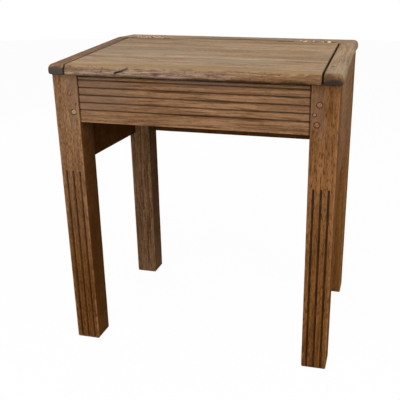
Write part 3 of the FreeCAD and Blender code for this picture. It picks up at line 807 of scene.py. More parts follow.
def frame_oak(
    name, node, axis, pith, dirt_and_shade=(), stains=(), stain_left=None, shaded_faces=(), russet=0.0, bleached=0.0, **grain
):
    """Worn oak of the legs and rails.

    The wood goes darker towards the floor between two given heights, and boxes of faces turned inwards, under
    the desk, get painted shade in that darker colour, each with its strength. russet and bleached are how far
    the wood has gone red, or pale as the top.
    """
    oak = bpy.context.scene.oak_finish
    low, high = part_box(node)
    material, shader, point = start_material(name)
    light = between(between(oak.frame_light, oak.russet_light, russet), oak.top_light, bleached)
    dark = between(between(oak.frame_dark, oak.russet_dark, russet), oak.top_dark, bleached)
    rubbed = [min(1.0, part * 1.2) for part in light]
    # Darker towards the floor, with a ragged edge between the two heights
    if stain_left:
        height = parts(point)["Z"]
        patchy = noise(point, (20.0, 20.0, 7.0), 3.0, 0.6)
        height = times_plus(minus(patchy, 0.5), 0.25, height)
        upper_share = ramp(height, *stain_left)
        light = blend(upper_share, oak.foot_light, light)
        dark = blend(upper_share, oak.foot_dark, dark)
    pore = (*between(oak.pore, oak.russet_dark, 0.5 * russet), 1.0)
    oaken = wood(point, axis, pith, light, dark, pore=pore, **{**FRAME_GRAIN, **grain})
    marks = handling_marks(point, 0.12)
    base = tint(oaken["Color"], marks["Patches"], 0.25, dark)
    base = tint(base, edge_wear(point, low, high, 0.005), 0.7, rubbed)
    # Painted shade on the faces turned inwards, under the desk, in the dark colour near the floor
    base = washed(point, base, [(*box, 0.0012, oak.foot_dark, kept) for box, kept in shaded_faces])
    base = stained(point, base, stains)
    base = paint_dirt_and_shade(point, base, dirt_and_shade)
    height = times_plus(marks["Dents"], -0.8, oaken["Height"])
    gloss = evenly(marks["Patches"], 0.64, 0.78)
    finish_wood(shader, base, height, gloss)
    return material


def top_oak(name, axis, pith, low, high, slope=True, nosed=False, brown=0.0, dirt_and_shade=(), stains=(), **grain):
    """Greyed, scratched oak of the lid and its surround, with a raw underside.

    nosed is for the board with the rubbed front edge, and brown is how much of the frame's colour a piece
    has kept.
    """
    oak = bpy.context.scene.oak_finish
    material, shader, point = start_material(name)
    flat = levelled(point) if slope else point
    light = between(oak.top_light, oak.frame_light, brown)
    dark = between(oak.top_dark, oak.frame_dark, brown)
    oaken = wood(flat, axis, pith, light, dark, **{**TOP_GRAIN, **grain})
    marks = handling_marks(flat, 0.11)
    base = tint(oaken["Color"], marks["Patches"], 0.5 - 0.4 * brown, oak.grey)
    base = tint(base, marks["Scratches"], 0.4, dark)
    ticks = spots(along_grain(flat, axis, pith), (24.0, 140.0, 140.0), 0.52, 0.62, 3.0, 0.65)
    base = tint(base, ticks, 0.5, dark)
    base = tint(base, edge_wear(flat, low, high, 0.006), 0.35, dark)
    if nosed:
        base = rubbed_nose(flat, base, low)
    base = stained(flat, base, stains)
    raw_light = between(oak.inner_light, oak.top_light, 0.4)
    raw = wood(flat, axis, pith, raw_light, oak.inner_dark, figure=0.3, lines=0.3)
    place = parts(flat)
    underside = ramp(minus(board_top_z, place["Z"]), 0.0185, 0.0208)
    behind_nose = ramp(place["Y"], low[1] + 0.010, low[1] + 0.018)
    base = blend(times(underside, behind_nose), base, raw["Color"])
    base = paint_dirt_and_shade(flat, base, dirt_and_shade)
    height = times_plus(marks["Dents"], -0.8, oaken["Height"])
    height = times_plus(marks["Scratches"], -0.5, height)
    gloss = evenly(marks["Patches"], 0.62, 0.78)
    finish_wood(shader, base, height, gloss)
    return material


SPLIT_X = -0.142
SPLIT_SLANT = math.radians(18.0)
SPLIT_SET = 0.004  # the split's middle behind the lid's front edge


def rubbed_nose(flat, base, low):
    """Golden band where arms have rubbed the lid, and the streaky edge under it with painted shade along its
    lower edge and inside its split.
    """
    oak = bpy.context.scene.oak_finish
    place = parts(flat)
    torn = minus(noise(flat, (30.0, 60.0, 60.0), 3.0, 0.6), 0.5)
    from_front = times_plus(torn, 0.016, minus(place["Y"], low[1]))
    under_top = minus(board_top_z, place["Z"])
    band_end = ramp(from_front, 0.016, 0.030, 1.0, 0.0)
    rubbed = times(ramp(from_front, 0.003, 0.009), band_end)
    base = tint(base, rubbed, 0.8, oak.gold)
    edge = blend(ramp(place["X"], -0.04, 0.19), oak.nose_left, oak.nose_right)
    edge = tint(edge, spots(flat, (14.0, 230.0, 230.0), 0.50, 0.64), 0.45, oak.top_light)
    for stretch in ((13.0, 210.0, 210.0), (32.0, 330.0, 330.0), (24.0, 560.0, 560.0)):
        edge = tint(edge, spots(flat, stretch, 0.51, 0.60), 0.55, oak.frame_dark)
    edge = tint(edge, spots(flat, (150.0, 420.0, 420.0), 0.58, 0.66, 2.0), 0.7, oak.pore)
    base = tint(base, ramp(from_front, 0.003, 0.009, 1.0, 0.0), 0.92, edge)
    # Painted shade along the nose's lower edge, stronger to the right
    ragged = times_plus(torn, 0.02, under_top)
    to_right = ramp(place["X"], -0.12, 0.15, 0.25, 0.85)
    worn = times(ramp(ragged, 0.014, 0.021), to_right)
    worn = times(worn, ramp(from_front, 0.006, 0.014, 1.0, 0.0))
    base = blend(worn, base, oak.pore)
    # Painted shade inside the split
    split = Vector((SPLIT_X, low[1] + SPLIT_SET, board_top_z - 0.009))
    reach = Vector((0.017, 0.02, 0.0034))
    beside = turned(flat, "Y", SPLIT_SLANT, split)
    return washed(beside, base, [(split - reach, split + reach, 0.003, oak.grime_and_shade, 0.95)])


def inner_oak(name, node, axis, pith, dirt_and_shade=()):
    """Unpolished oak inside the well."""
    oak = bpy.context.scene.oak_finish
    material, shader, point = start_material(name)
    grain = {"ring_size": 0.006, "figure": 0.4, "streaks": 0.6, "lines": 0.3}
    oaken = wood(point, axis, pith, oak.inner_light, oak.inner_dark, **grain)
    marks = handling_marks(point, 0.15)
    base = tint(oaken["Color"], marks["Patches"], 0.4, oak.inner_dark)
    base = tint(base, edge_wear(point, *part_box(node), 0.004), 0.5, oak.grime_and_shade)
    base = paint_dirt_and_shade(point, base, dirt_and_shade)
    gloss = evenly(marks["Patches"], 0.62, 0.75)
    finish_wood(shader, base, oaken["Height"], gloss)
    return material


def peg_oak(name, axis, pith, pale=None):
    """End grain of pegs, toned as the legs; pale is the box of a newer, paler one."""
    oak = bpy.context.scene.oak_finish
    material, shader, point = start_material(name)
    light, dark = oak.frame_light, oak.frame_dark
    if pale:
        newer = hollow(point, *pale, 0.0005)
        light = blend(newer, light, oak.peg_light)
        dark = blend(newer, dark, [part * 0.6 for part in oak.peg_light])
    grain = {"ring_size": 0.002, "figure": 0.4, "streaks": 0.4, "streak_width": 0.002}
    oaken = wood(point, axis, pith, light, dark, **grain)
    dirt_and_shade = spots(point, (160.0, 160.0, 160.0), 0.45, 0.7)
    base = tint(oaken["Color"], dirt_and_shade, 0.35, dark)
    finish_wood(shader, base, oaken["Height"], ramp(dirt_and_shade, 0.0, 1.0, 0.5, 0.7), 0.0003)
    return material


def metal(name, clean, dull, share_dull, gloss):
    """Old metal, dulled in patches, built the first time that it is asked for."""
    found = bpy.data.materials.get(name)
    if found:
        return found
    material, shader, point = start_material(name)
    patch = noise(point, (120.0, 220.0, 220.0), 4.0, 0.65)
    grit = noise(point, (900.0, 900.0, 900.0), 2.0, 0.6)
    start = 0.70 - share_dull * 0.4
    mask = ramp(times_plus(grit, 0.2, patch), start, start + 0.2)
    relief = add_node("ShaderNodeBump", {"Height": grit, "Distance": 0.0002, "Strength": 0.3})
    inputs = {
        "Base Color": blend(mask, clean, dull),
        "Metallic": evenly(mask, 1.0, 0.55),
        "Roughness": evenly(mask, gloss, gloss + 0.3),
        "Normal": relief.outputs[0],
    }
    set_inputs(shader, inputs)
    return material


def brass():
    metals = bpy.context.scene.metal_finish
    return metal("tarnished_brass", metals.brass, metals.tarnish, 0.55, 0.42)


def steel():
    metals = bpy.context.scene.metal_finish
    return metal("rusty_steel", metals.steel, metals.rust, 0.6, 0.5)


# Pieces

def shape_leg(node):
    """Square leg, tapered inside, worn at its edges and foot; a front one is sloped on top and fluted."""
    sizes = bpy.context.scene.desk_sizes
    low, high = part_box(node)
    side = math.copysign(1, high.x)
    end = math.copysign(1, high.y)
    inner_x = min(abs(low.x), abs(high.x))
    inner_y = min(abs(low.y), abs(high.y))
    flutes = [side * (inner_x + (high.x - low.x) / 2 + step * sizes.flute_pitch) for step in (-1, 0, 1)]
    row = 0.012
    leg = add_block(f"worn_{node}", low, high)
    with editing(leg):
        slice_across("Z", [sizes.taper_top])
        pick_points(leg, lambda co: co.z < NEAR and abs(co.x) < inner_x + NEAR)
        shift(x=side * sizes.foot_taper)
        pick_points(leg, lambda co: co.z < NEAR and abs(co.y) < inner_y + NEAR)
        shift(y=end * sizes.foot_taper)
        if end < 0:
            plane_to_slope(high.y, high.z)
        round_edges(leg, sizes.arris, 3, lambda edge: runs_along(edge, "Z"))
        round_off(leg, sizes.foot_wear, 3, lambda co: co.z < NEAR)
        cut_rows("Z", 0.0, high.z * 0.97, 0.016)
        if end < 0:
            cut_flutes(leg, low.y, flutes)
        else:
            cut_rows("X", low.x + row / 2, high.x - row / 2, row)
        cut_rows("Y", low.y + row / 2, high.y - row / 2, row)
    make_uneven(leg, sizes.unevenness, 0.05)
    with editing(leg):
        pick_points(leg, lambda co: co.z < 2 * sizes.unevenness)
        squeeze(1, 1, 0)
    return leg


FLUTE_PROFILE = ((-1.0, 0.0), (-0.8, 0.6), (-0.45, 0.893), (0.0, 1.0), (0.45, 0.893), (0.8, 0.6), (1.0, 0.0))


def cut_flutes(leg, face_y, centres):
    """Presses round-bottomed flutes into the front face, with rounded tops."""
    sizes = bpy.context.scene.desk_sizes
    radius = sizes.flute_radius
    top = sizes.flute_top
    slice_across("X", [centre + place * radius for centre in centres for place, _ in FLUTE_PROFILE])
    slice_across("Z", [top, top + 0.5 * radius, top + 0.8 * radius, top + radius])
    bands = (
        (-1.0, top, 0.0),
        (top, top + 0.6 * radius, 0.5),
        (top + 0.6 * radius, top + 0.9 * radius, 0.8),
    )
    for place, depth in FLUTE_PROFILE[1:-1]:
        for low_z, high_z, risen in bands:
            left = depth * depth - risen * risen
            if left <= 0:
                continue
            pick_points(
                leg,
                lambda co: co.y < face_y + CLOSE
                and low_z + CLOSE < co.z < high_z + CLOSE
                and any(abs(co.x - centre - place * radius) < CLOSE for centre in centres),
            )
            shift(y=radius * math.sqrt(left))


def shape_board(name, low, high, arris, rows, sloped=False):
    """Board with softened edges, cut into rows along X, Y and Z so that it can be uneven."""
    board = add_block(name, low, high)
    with editing(board):
        if sloped:
            plane_to_slope(hinge_line_y, under_top_z)
        round_edges(board, arris, 2, lambda edge: True)
        for axis, step in rows.items():
            index = "XYZ".index(axis)
            cut_rows(axis, low[index] + 2 * arris, high[index] - 2 * arris, step)
    return board


def peg_ends(*nodes):
    """Middle of each peg's outer end, the way it faces and its radius, for pegs along X or Y."""
    ends = []
    for node in nodes:
        for low, high in islands(node):
            middle = (low + high) / 2
            size = high - low
            index = 0 if size.x > size.y else 1
            way = AXES["XY"[index]] * math.copysign(1, middle[index])
            ends.append((middle + way * size[index] / 2, way, size.z / 2))
    return ends


PEG_NODES = {"front": ("front_rail_pegs", "front_rail_pins"), "rear": ("rear_rail_pegs",)}
SNUG_GAP = 0.0003  # round the pegs that still sit tight
# How softly the painted shade in the flutes begins: a larger value leaves less of it
FLUTE_SHADE = {"left": 0.0025, "right": 0.0015}
LEG_GRAIN = {
    "front_left": {
        "stain_left": (0.12, 0.62), "figure": 0.12, "streaks": 0.5, "streak_width": 0.006, "lines": 0.10,
        "flecks": 0.3, "speckle": 0.5,
    },
    "front_right": {
        "stain_left": (0.12, 0.56), "russet": 1.0, "figure": 0.25, "streaks": 0.5, "streak_width": 0.007,
        "lines": 0.2, "flecks": 0.75, "speckle": 0.3,
    },
    "rear_left": {"figure": 0.6, "streaks": 0.5, "lines": 0.6, "flecks": 0.4},
    "rear_right": {
        "stain_left": (0.12, 0.56), "russet": 1.0, "figure": 0.3, "streaks": 0.4, "lines": 0.25,
        "flecks": 0.3,
    },
}


class DESK_OT_legs(bpy.types.Operator):
    """Four square legs, with three flutes down each front one and gaps round the pegs"""
    bl_idname = "desk.legs"
    bl_label = "Legs"

    def execute(self, context):
        for end in ("front", "rear"):
            for name in SIDES:
                self.make_leg(end, name)
        return {"FINISHED"}

    def make_leg(self, end, name):
        sizes = bpy.context.scene.desk_sizes
        side = SIDES[name]
        node = f"{end}_{name}_leg"
        low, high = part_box(node)
        leg = shape_leg(node)
        pegs = [
            (place, way, radius) for place, way, radius in peg_ends(*PEG_NODES[end], f"{name}_side_rail_pegs")
            if low.x - PAST < place.x < high.x + PAST and low.y - PAST < place.y < high.y + PAST
        ]
        lowest = min(place.z for place, way, _ in pegs if way.y)
        holes = []
        dirt_and_shade = []
        for place, way, radius in pegs:
            snug = node == "front_left_leg" and way.y and place.z > lowest
            hole = place, -way, radius + (SNUG_GAP if snug else sizes.peg_gap), sizes.hole_depth
            holes.append(hole)
            # Painted shade in the gaps round the loose pegs
            if not snug:
                dirt_and_shade.append(self.hole_shade(*hole))
        drill(leg, holes, 14)
        # Painted shade in the flutes
        if end == "front":
            flutes_low = low.x + 0.004, low.y + 0.0004, 0.0006
            flutes_high = high.x - 0.004, low.y + 0.006, sizes.flute_top + 0.004
            dirt_and_shade.append((flutes_low, flutes_high, FLUTE_SHADE[name]))
        pith = (side * 0.24, -0.10 if end == "front" else 0.32, 0.2 * side)
        inner_x = low.x if side > 0 else high.x
        # Painted shade on the leg's inner face under the desk, stronger on the front legs
        shaded_faces = [(layer(low, high, "X", inner_x, SKIN), 0.95 if end == "front" else 0.6)]
        stains = self.stains(low.y).get(f"{end}_{name}", ())
        grain = LEG_GRAIN[f"{end}_{name}"]
        finish = frame_oak(f"oak_{node}", node, "Z", pith, dirt_and_shade, stains, shaded_faces=shaded_faces, **grain)
        hand_over(leg, node, finish)

    def stains(self, face):
        """Dull patches on the front legs' faces."""
        dull = bpy.context.scene.oak_finish.dull
        return {
            "front_left": [
                ((-0.258, face, 0.615), (0.022, 0.05, 0.045), dull, 0.6),
                ((-0.262, face, 0.56), (0.012, 0.05, 0.06), dull, 0.5),
            ],
            "front_right": [((0.262, face, 0.585), (0.022, 0.05, 0.07), dull, 0.4)],
        }

    def hole_shade(self, mouth, way, radius, depth):
        """Box of painted shade in the gap round a peg, just under the leg's face."""
        spread = Vector((radius, radius, radius)) * 1.15
        deep = Vector([abs(part) for part in way])
        spread -= deep * spread.x
        middle = mouth + way * depth
        return middle - spread - deep * 0.0023, middle + spread + deep * 0.0023, 0.0003


GROOVES = 5


class DESK_OT_front_rail(bpy.types.Operator):
    """Front rail with level grooves"""
    bl_idname = "desk.front_rail"
    bl_label = "Front Rail"

    def execute(self, context):
        oak = context.scene.oak_finish
        sizes = context.scene.desk_sizes
        low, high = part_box("front_rail")
        leg_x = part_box("front_right_leg")[0].x
        reach = leg_x + sizes.rail_end
        rail = add_block("worn_front_rail", (-reach, low.y, low.z), (reach, high.y, high.z))
        places = [low.z + sizes.first_groove + step * sizes.groove_pitch for step in range(GROOVES)]
        lands = [(upper + lower) / 2 for lower, upper in zip(places, places[1:])]
        half = sizes.groove_width / 2

        def beside(co, distance):
            """Whether a point of the front face lies so far from a groove's middle."""
            return co.y < low.y + CLOSE and any(abs(abs(co.z - place) - distance) < CLOSE for place in places)

        with editing(rail):
            plane_to_slope(hinge_line_y, under_top_z)
            round_edges(rail, sizes.rail_arris, 3, lambda edge: runs_along(edge, "X"))
            slice_across("Z", [place + step * half for place in places for step in (-1, 0, 1)])
            pick_points(rail, lambda co: beside(co, 0.0))
            shift(y=sizes.groove_depth)
            round_off(rail, sizes.fine_arris, 2, lambda co: beside(co, half))
            cut_rows("X", -reach, reach, 0.012)
            slice_across("Z", [*lands, low.z + 0.012])
        make_uneven(rail, sizes.unevenness, 0.04)
        front_top = under_z(low)
        dirt_and_shade = [
            # Painted shade in the grooves
            ((-reach, low.y + 0.0006, low.z + 0.003), (reach, low.y + 0.006, high.z), 0.0032),
            # Painted shadow of the lid's nose along the rail's top
            ((-reach, low.y - PAST, front_top - 0.0062), (reach, high.y, front_top + PAST), 0.002),
        ]
        # Painted shade in the joints at the legs
        for joint in (-leg_x, leg_x):
            joint_low = joint - JOINT_SHADE, low.y - PAST, low.z - PAST
            joint_high = joint + JOINT_SHADE, high.y, high.z + PAST
            dirt_and_shade.append((joint_low, joint_high, 0.0016))
        stains = [
            ((-0.20, low.y, 0.60), (0.13, 0.05, 0.06), oak.dull, 0.6),
            ((0.02, low.y, 0.632), (0.16, 0.05, 0.016), oak.dull, 0.5),
        ]
        finish = frame_oak(
            "oak_front_rail", "front_rail", "X", (0.1, -0.12, 0.48), dirt_and_shade, stains,
            figure=0.25, streak_width=0.010, lines=0.7, flecks=0.3, speckle=0.15,
        )
        hand_over(rail, "front_rail", finish)
        return {"FINISHED"}


class DESK_OT_side_and_rear_rails(bpy.types.Operator):
    """Deep rails at the sides and the back"""
    bl_idname = "desk.side_and_rear_rails"
    bl_label = "Side and Rear Rails"

    def execute(self, context):
        end = context.scene.desk_sizes.rail_end
        front_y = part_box("front_left_leg")[1].y - end
        rear_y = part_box("rear_left_leg")[0].y + end
        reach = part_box("front_right_leg")[0].x + end
        for name, side in SIDES.items():
            node = f"{name}_side_rail"
            low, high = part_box(node)
            # Painted shade on the side rail's inner face
            inside = layer(low, high, "X", low.x if side > 0 else high.x, SKIN)
            self.make_rail(
                node, (low.x, front_y, low.z), (high.x, rear_y, high.z), "Y", (low.x - 0.09, 0.0, 0.52),
                inside, sloped=True, stain_left=(0.33, 0.72), russet=0.8, bleached=0.35,
                figure=0.25, streaks=0.35, lines=0.2, flecks=0.2, speckle=0.15,
            )
        low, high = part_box("rear_rail")
        # Painted shade on the rear rail's inner face
        inside = layer(low, high, "Y", low.y, SKIN)
        self.make_rail(
            "rear_rail", (-reach, low.y, low.z), (reach, high.y, high.z), "X", (0.0, 0.28, 0.56), inside,
            figure=0.45,
        )
        return {"FINISHED"}

    def make_rail(self, node, low, high, axis, pith, inside, sloped=False, **look):
        """One deep rail between its legs, with painted shade on its inner face."""
        sizes = bpy.context.scene.desk_sizes
        rows = dict.fromkeys("XYZ", 0.014)
        rail = shape_board(f"worn_{node}", low, high, sizes.rail_arris, rows, sloped)
        make_uneven(rail, sizes.unevenness, 0.06)
        finish = frame_oak(f"oak_{node}", node, axis, pith, shaded_faces=[(inside, 0.95)], **look)
        hand_over(rail, node, finish)


# How far the painted shade of the seam beside the lid lies over a strip, and the strip's share of the frame's
# brown
STRIP_SEAMS = {"left": 0.0010, "right": 0.0022}
STRIP_BROWN = {"left": 0.85, "right": 0.0}


class DESK_OT_top_strips(bpy.types.Operator):
    """Fixed strips at both sides of the lid"""
    bl_idname = "desk.top_strips"
    bl_label = "Top Strips"

    def execute(self, context):
        for name, side in SIDES.items():
            node = f"{name}_top_strip"
            low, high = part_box(node)
            outer = max(abs(low.x), abs(high.x))
            inner = min(abs(low.x), abs(high.x))
            strip = self.shape(node, low, high, inner, outer)
            make_uneven(strip, context.scene.desk_sizes.unevenness, 0.05)
            box = levelled_box(low, high)
            # Painted shade along the seam beside the lid
            over = STRIP_SEAMS[name]
            seam = layer(*box, "X", side * (inner + (over - SKIN) / 2), (over + SKIN) / 2)
            dirt_and_shade = [(*seam, SEAM_SOFT)]
            finish = top_oak(
                f"oak_{node}", "Y", (side * 0.25, 0.0, 0.60), *box, brown=STRIP_BROWN[name], dirt_and_shade=dirt_and_shade,
                stains=self.stains(box[0].y)[name], streak_width=0.009,
            )
            hand_over(strip, node, finish)
        return {"FINISHED"}

    def stains(self, front):
        """Ink and dirt on the strips, most of it on their front ends."""
        oak = bpy.context.scene.oak_finish
        spilt = between(oak.ink, oak.grime_and_shade, 0.7)
        return {
            "left": [
                ((-0.291, -0.05, board_top_z), (0.05, 0.25, 0.05), oak.dull, 0.3),
                ((-0.291, front, board_top_z - 0.017), (0.06, 0.03, 0.016), oak.ink, 0.86),
            ],
            "right": [
                ((0.284, -0.155, board_top_z), (0.004, 0.006, 0.004), oak.pore, 0.9),
                ((0.291, front, board_top_z - 0.006), (0.05, 0.017, 0.02), oak.nose_right, 0.85),
                ((0.283, front, board_top_z - 0.007), (0.016, 0.014, 0.012), oak.grime_and_shade, 0.6),
                ((0.300, front, board_top_z - 0.009), (0.012, 0.014, 0.006), oak.grime_and_shade, 0.5),
                ((0.291, front, board_top_z - 0.019), (0.06, 0.03, 0.014), spilt, 0.95),
            ],
        }

    def shape(self, node, low, high, inner, outer):
        """One strip, level first and then let down to the slope, rounded outside and in front."""
        sizes = bpy.context.scene.desk_sizes
        strip = add_block(f"worn_{node}", (low.x, low.y, high.z - top_thickness), high)

        def at_outer(co):
            return abs(co.x) > outer - NEAR

        def at_inner(co):
            return abs(co.x) < inner + NEAR

        def at_front(co):
            return co.y < low.y + NEAR

        def at_back(co):
            return co.y > high.y - NEAR

        def above(co):
            return co.z > under_z(co) + NEAR

        def below(co):
            return not above(co)

        with editing(strip):
            pick_points(strip, at_front)
            shift(z=-drop_at(low.y))
            round_off(
                strip, sizes.outer_round, 6,
                lambda co: at_outer(co) and above(co),
                lambda co: at_front(co) and above(co),
                lambda co: at_front(co) and at_outer(co),
            )
            round_edges(
                strip, sizes.under_round, 3,
                lambda edge: both(edge, below) and not both(edge, at_inner) and not both(edge, at_back),
            )
            round_edges(
                strip, sizes.strip_arris, 2, lambda edge: both(edge, at_inner) and is_sharp(edge, 0.6)
            )
            cut_rows("Y", low.y + 0.014, high.y - 0.002, 0.014)
        return strip


BARREL_HOLLOW = 0.0039  # radius of the hollow round a hinge's barrel
BARREL_GAP = 0.0004  # between a barrel and the wood or leaf beside it
# How far the ragged housings run out beside the hinges, and where their painted shade lies from the pin's
# left end
HOUSING_STARTS = {"left": 0.015, "right": 0.056}
HOUSING_ENDS = {"left": ((-0.018, 0.001), (0.075, 0.091)), "right": ((-0.058, -0.012), (0.075, 0.091))}


def hinge_cutters(name, facing):
    """Cutters for one hinge's leaf, its barrel and the ragged ends of its housing."""
    sizes = bpy.context.scene.desk_sizes
    leaf = "fixed" if facing > 0 else "lid"
    low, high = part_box(f"{name}_hinge_{leaf}_leaf")
    pin_low, pin_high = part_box(f"{name}_hinge_pin")
    axis_y = (pin_low.y + pin_high.y) / 2
    axis_z = (pin_low.z + pin_high.z) / 2
    seam = axis_y + facing * sizes.leaf_gap / 2
    above = axis_z + 0.002
    near, far = sorted((seam - facing * 0.002, seam + facing * (sizes.leaf_thickness + CLOSE)))
    plate = add_block("leaf_cutter", (low.x - CLOSE, near, low.z - CLOSE), (high.x + CLOSE, far, above))
    barrel_ends = (low.x - BARREL_GAP, axis_y, axis_z), (high.x + BARREL_GAP, axis_y, axis_z)
    barrel = add_rod("barrel_cutter", *barrel_ends, BARREL_HOLLOW, 24)
    near, far = sorted((seam - facing * 0.003, seam + facing * 0.0022))
    ragged_x = low.x - HOUSING_STARTS[name]
    gap = add_block("gap_cutter", (ragged_x, near, axis_z - 0.006), (high.x + 0.012, far, above))
    return plate, barrel, gap


def housing_shade(edge_y):
    """Boxes of painted shade at the ends of the hinges' housings, along the joint behind the lid."""
    boxes = []
    for name in SIDES:
        pin_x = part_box(f"{name}_hinge_pin")[0].x
        for start, end in HOUSING_ENDS[name]:
            low = pin_x + start, edge_y - 0.006, board_top_z - 0.03
            high = pin_x + end, edge_y + 0.005, board_top_z + PAST
            boxes.append((low, high, 0.003))
    return boxes


class DESK_OT_rear_board(bpy.types.Operator):
    """Level board behind the lid, with its pen groove and hinge housings"""
    bl_idname = "desk.rear_board"
    bl_label = "Rear Board"

    def execute(self, context):
        sizes = context.scene.desk_sizes
        oak = context.scene.oak_finish
        low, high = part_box("rear_top_board")
        board = add_block("worn_rear_top_board", low, high)

        def at_front(co):
            return co.y < low.y + NEAR

        def at_back(co):
            return co.y > high.y - NEAR

        with editing(board):
            round_edges(
                board, sizes.corner_round, 7, lambda edge: runs_along(edge, "Z") and both(edge, at_back)
            )
            for level, radius, segments in ((high.z, sizes.outer_round, 6), (low.z, sizes.under_round, 3)):
                round_edges(
                    board, radius, segments,
                    lambda edge: both(edge, lambda co: abs(co.z - level) < NEAR) and not both(edge, at_front),
                )
            round_off(board, sizes.fine_arris, 2, at_front)
            cut_rows("X", low.x + 0.016, high.x - 0.016, 0.016)
            cut_rows("Y", low.y + 0.002, high.y - 0.016, 0.014)
        make_uneven(board, sizes.unevenness, 0.05)
        carve(board, self.pen_groove(low.y + sizes.pen_groove_set))
        for name in SIDES:
            for cutter in hinge_cutters(name, 1):
                carve(board, cutter)
        # Painted shade inside the pen groove
        dirt_and_shade = [((-0.125, low.y + 0.008, high.z - 0.01), (0.125, low.y + 0.032, high.z - 0.0006), 0.002)]
        # Painted shade at the ends of the hinges' housings
        dirt_and_shade += housing_shade(low.y)
        # Painted shade in a ragged patch over and round the pen groove
        dull = between(oak.top_dark, oak.grime_and_shade, 0.6)
        stains = [((-0.01, low.y + sizes.pen_groove_set, high.z), (0.19, 0.026, 0.03), dull, 0.75)]
        finish = top_oak(
            "oak_rear_top_board", "X", (0.05, 0.2, 0.62), low, high, slope=False, dirt_and_shade=dirt_and_shade, stains=stains,
            streak_width=0.012,
        )
        hand_over(board, "rear_top_board", finish)
        return {"FINISHED"}

    def pen_groove(self, middle_y):
        """Long round-ended cutter for the trough in which a pen lies."""
        sizes = bpy.context.scene.desk_sizes
        radius = sizes.pen_groove_radius
        middle_z = board_top_z + radius - sizes.pen_groove_depth
        deselect_objects()
        bpy.ops.mesh.primitive_uv_sphere_add(
            segments=32, ring_count=24, radius=radius, location=(0, middle_y, middle_z)
        )
        cutter = settle(bpy.context.active_object, "pen_groove_cutter")
        with editing(cutter):
            slice_across("X", [0.0])
            for side in (1, -1):
                pick_points(cutter, lambda co: co.x * side > CLOSE)
                shift(x=side * sizes.pen_groove_half)
        return cutter


# Half the width of the painted shade along the lid's ends, and how much thinner the lid is than its strips
LID_SEAMS = {"left": 0.0013, "right": 0.0026}
LID_GAP = 0.0003


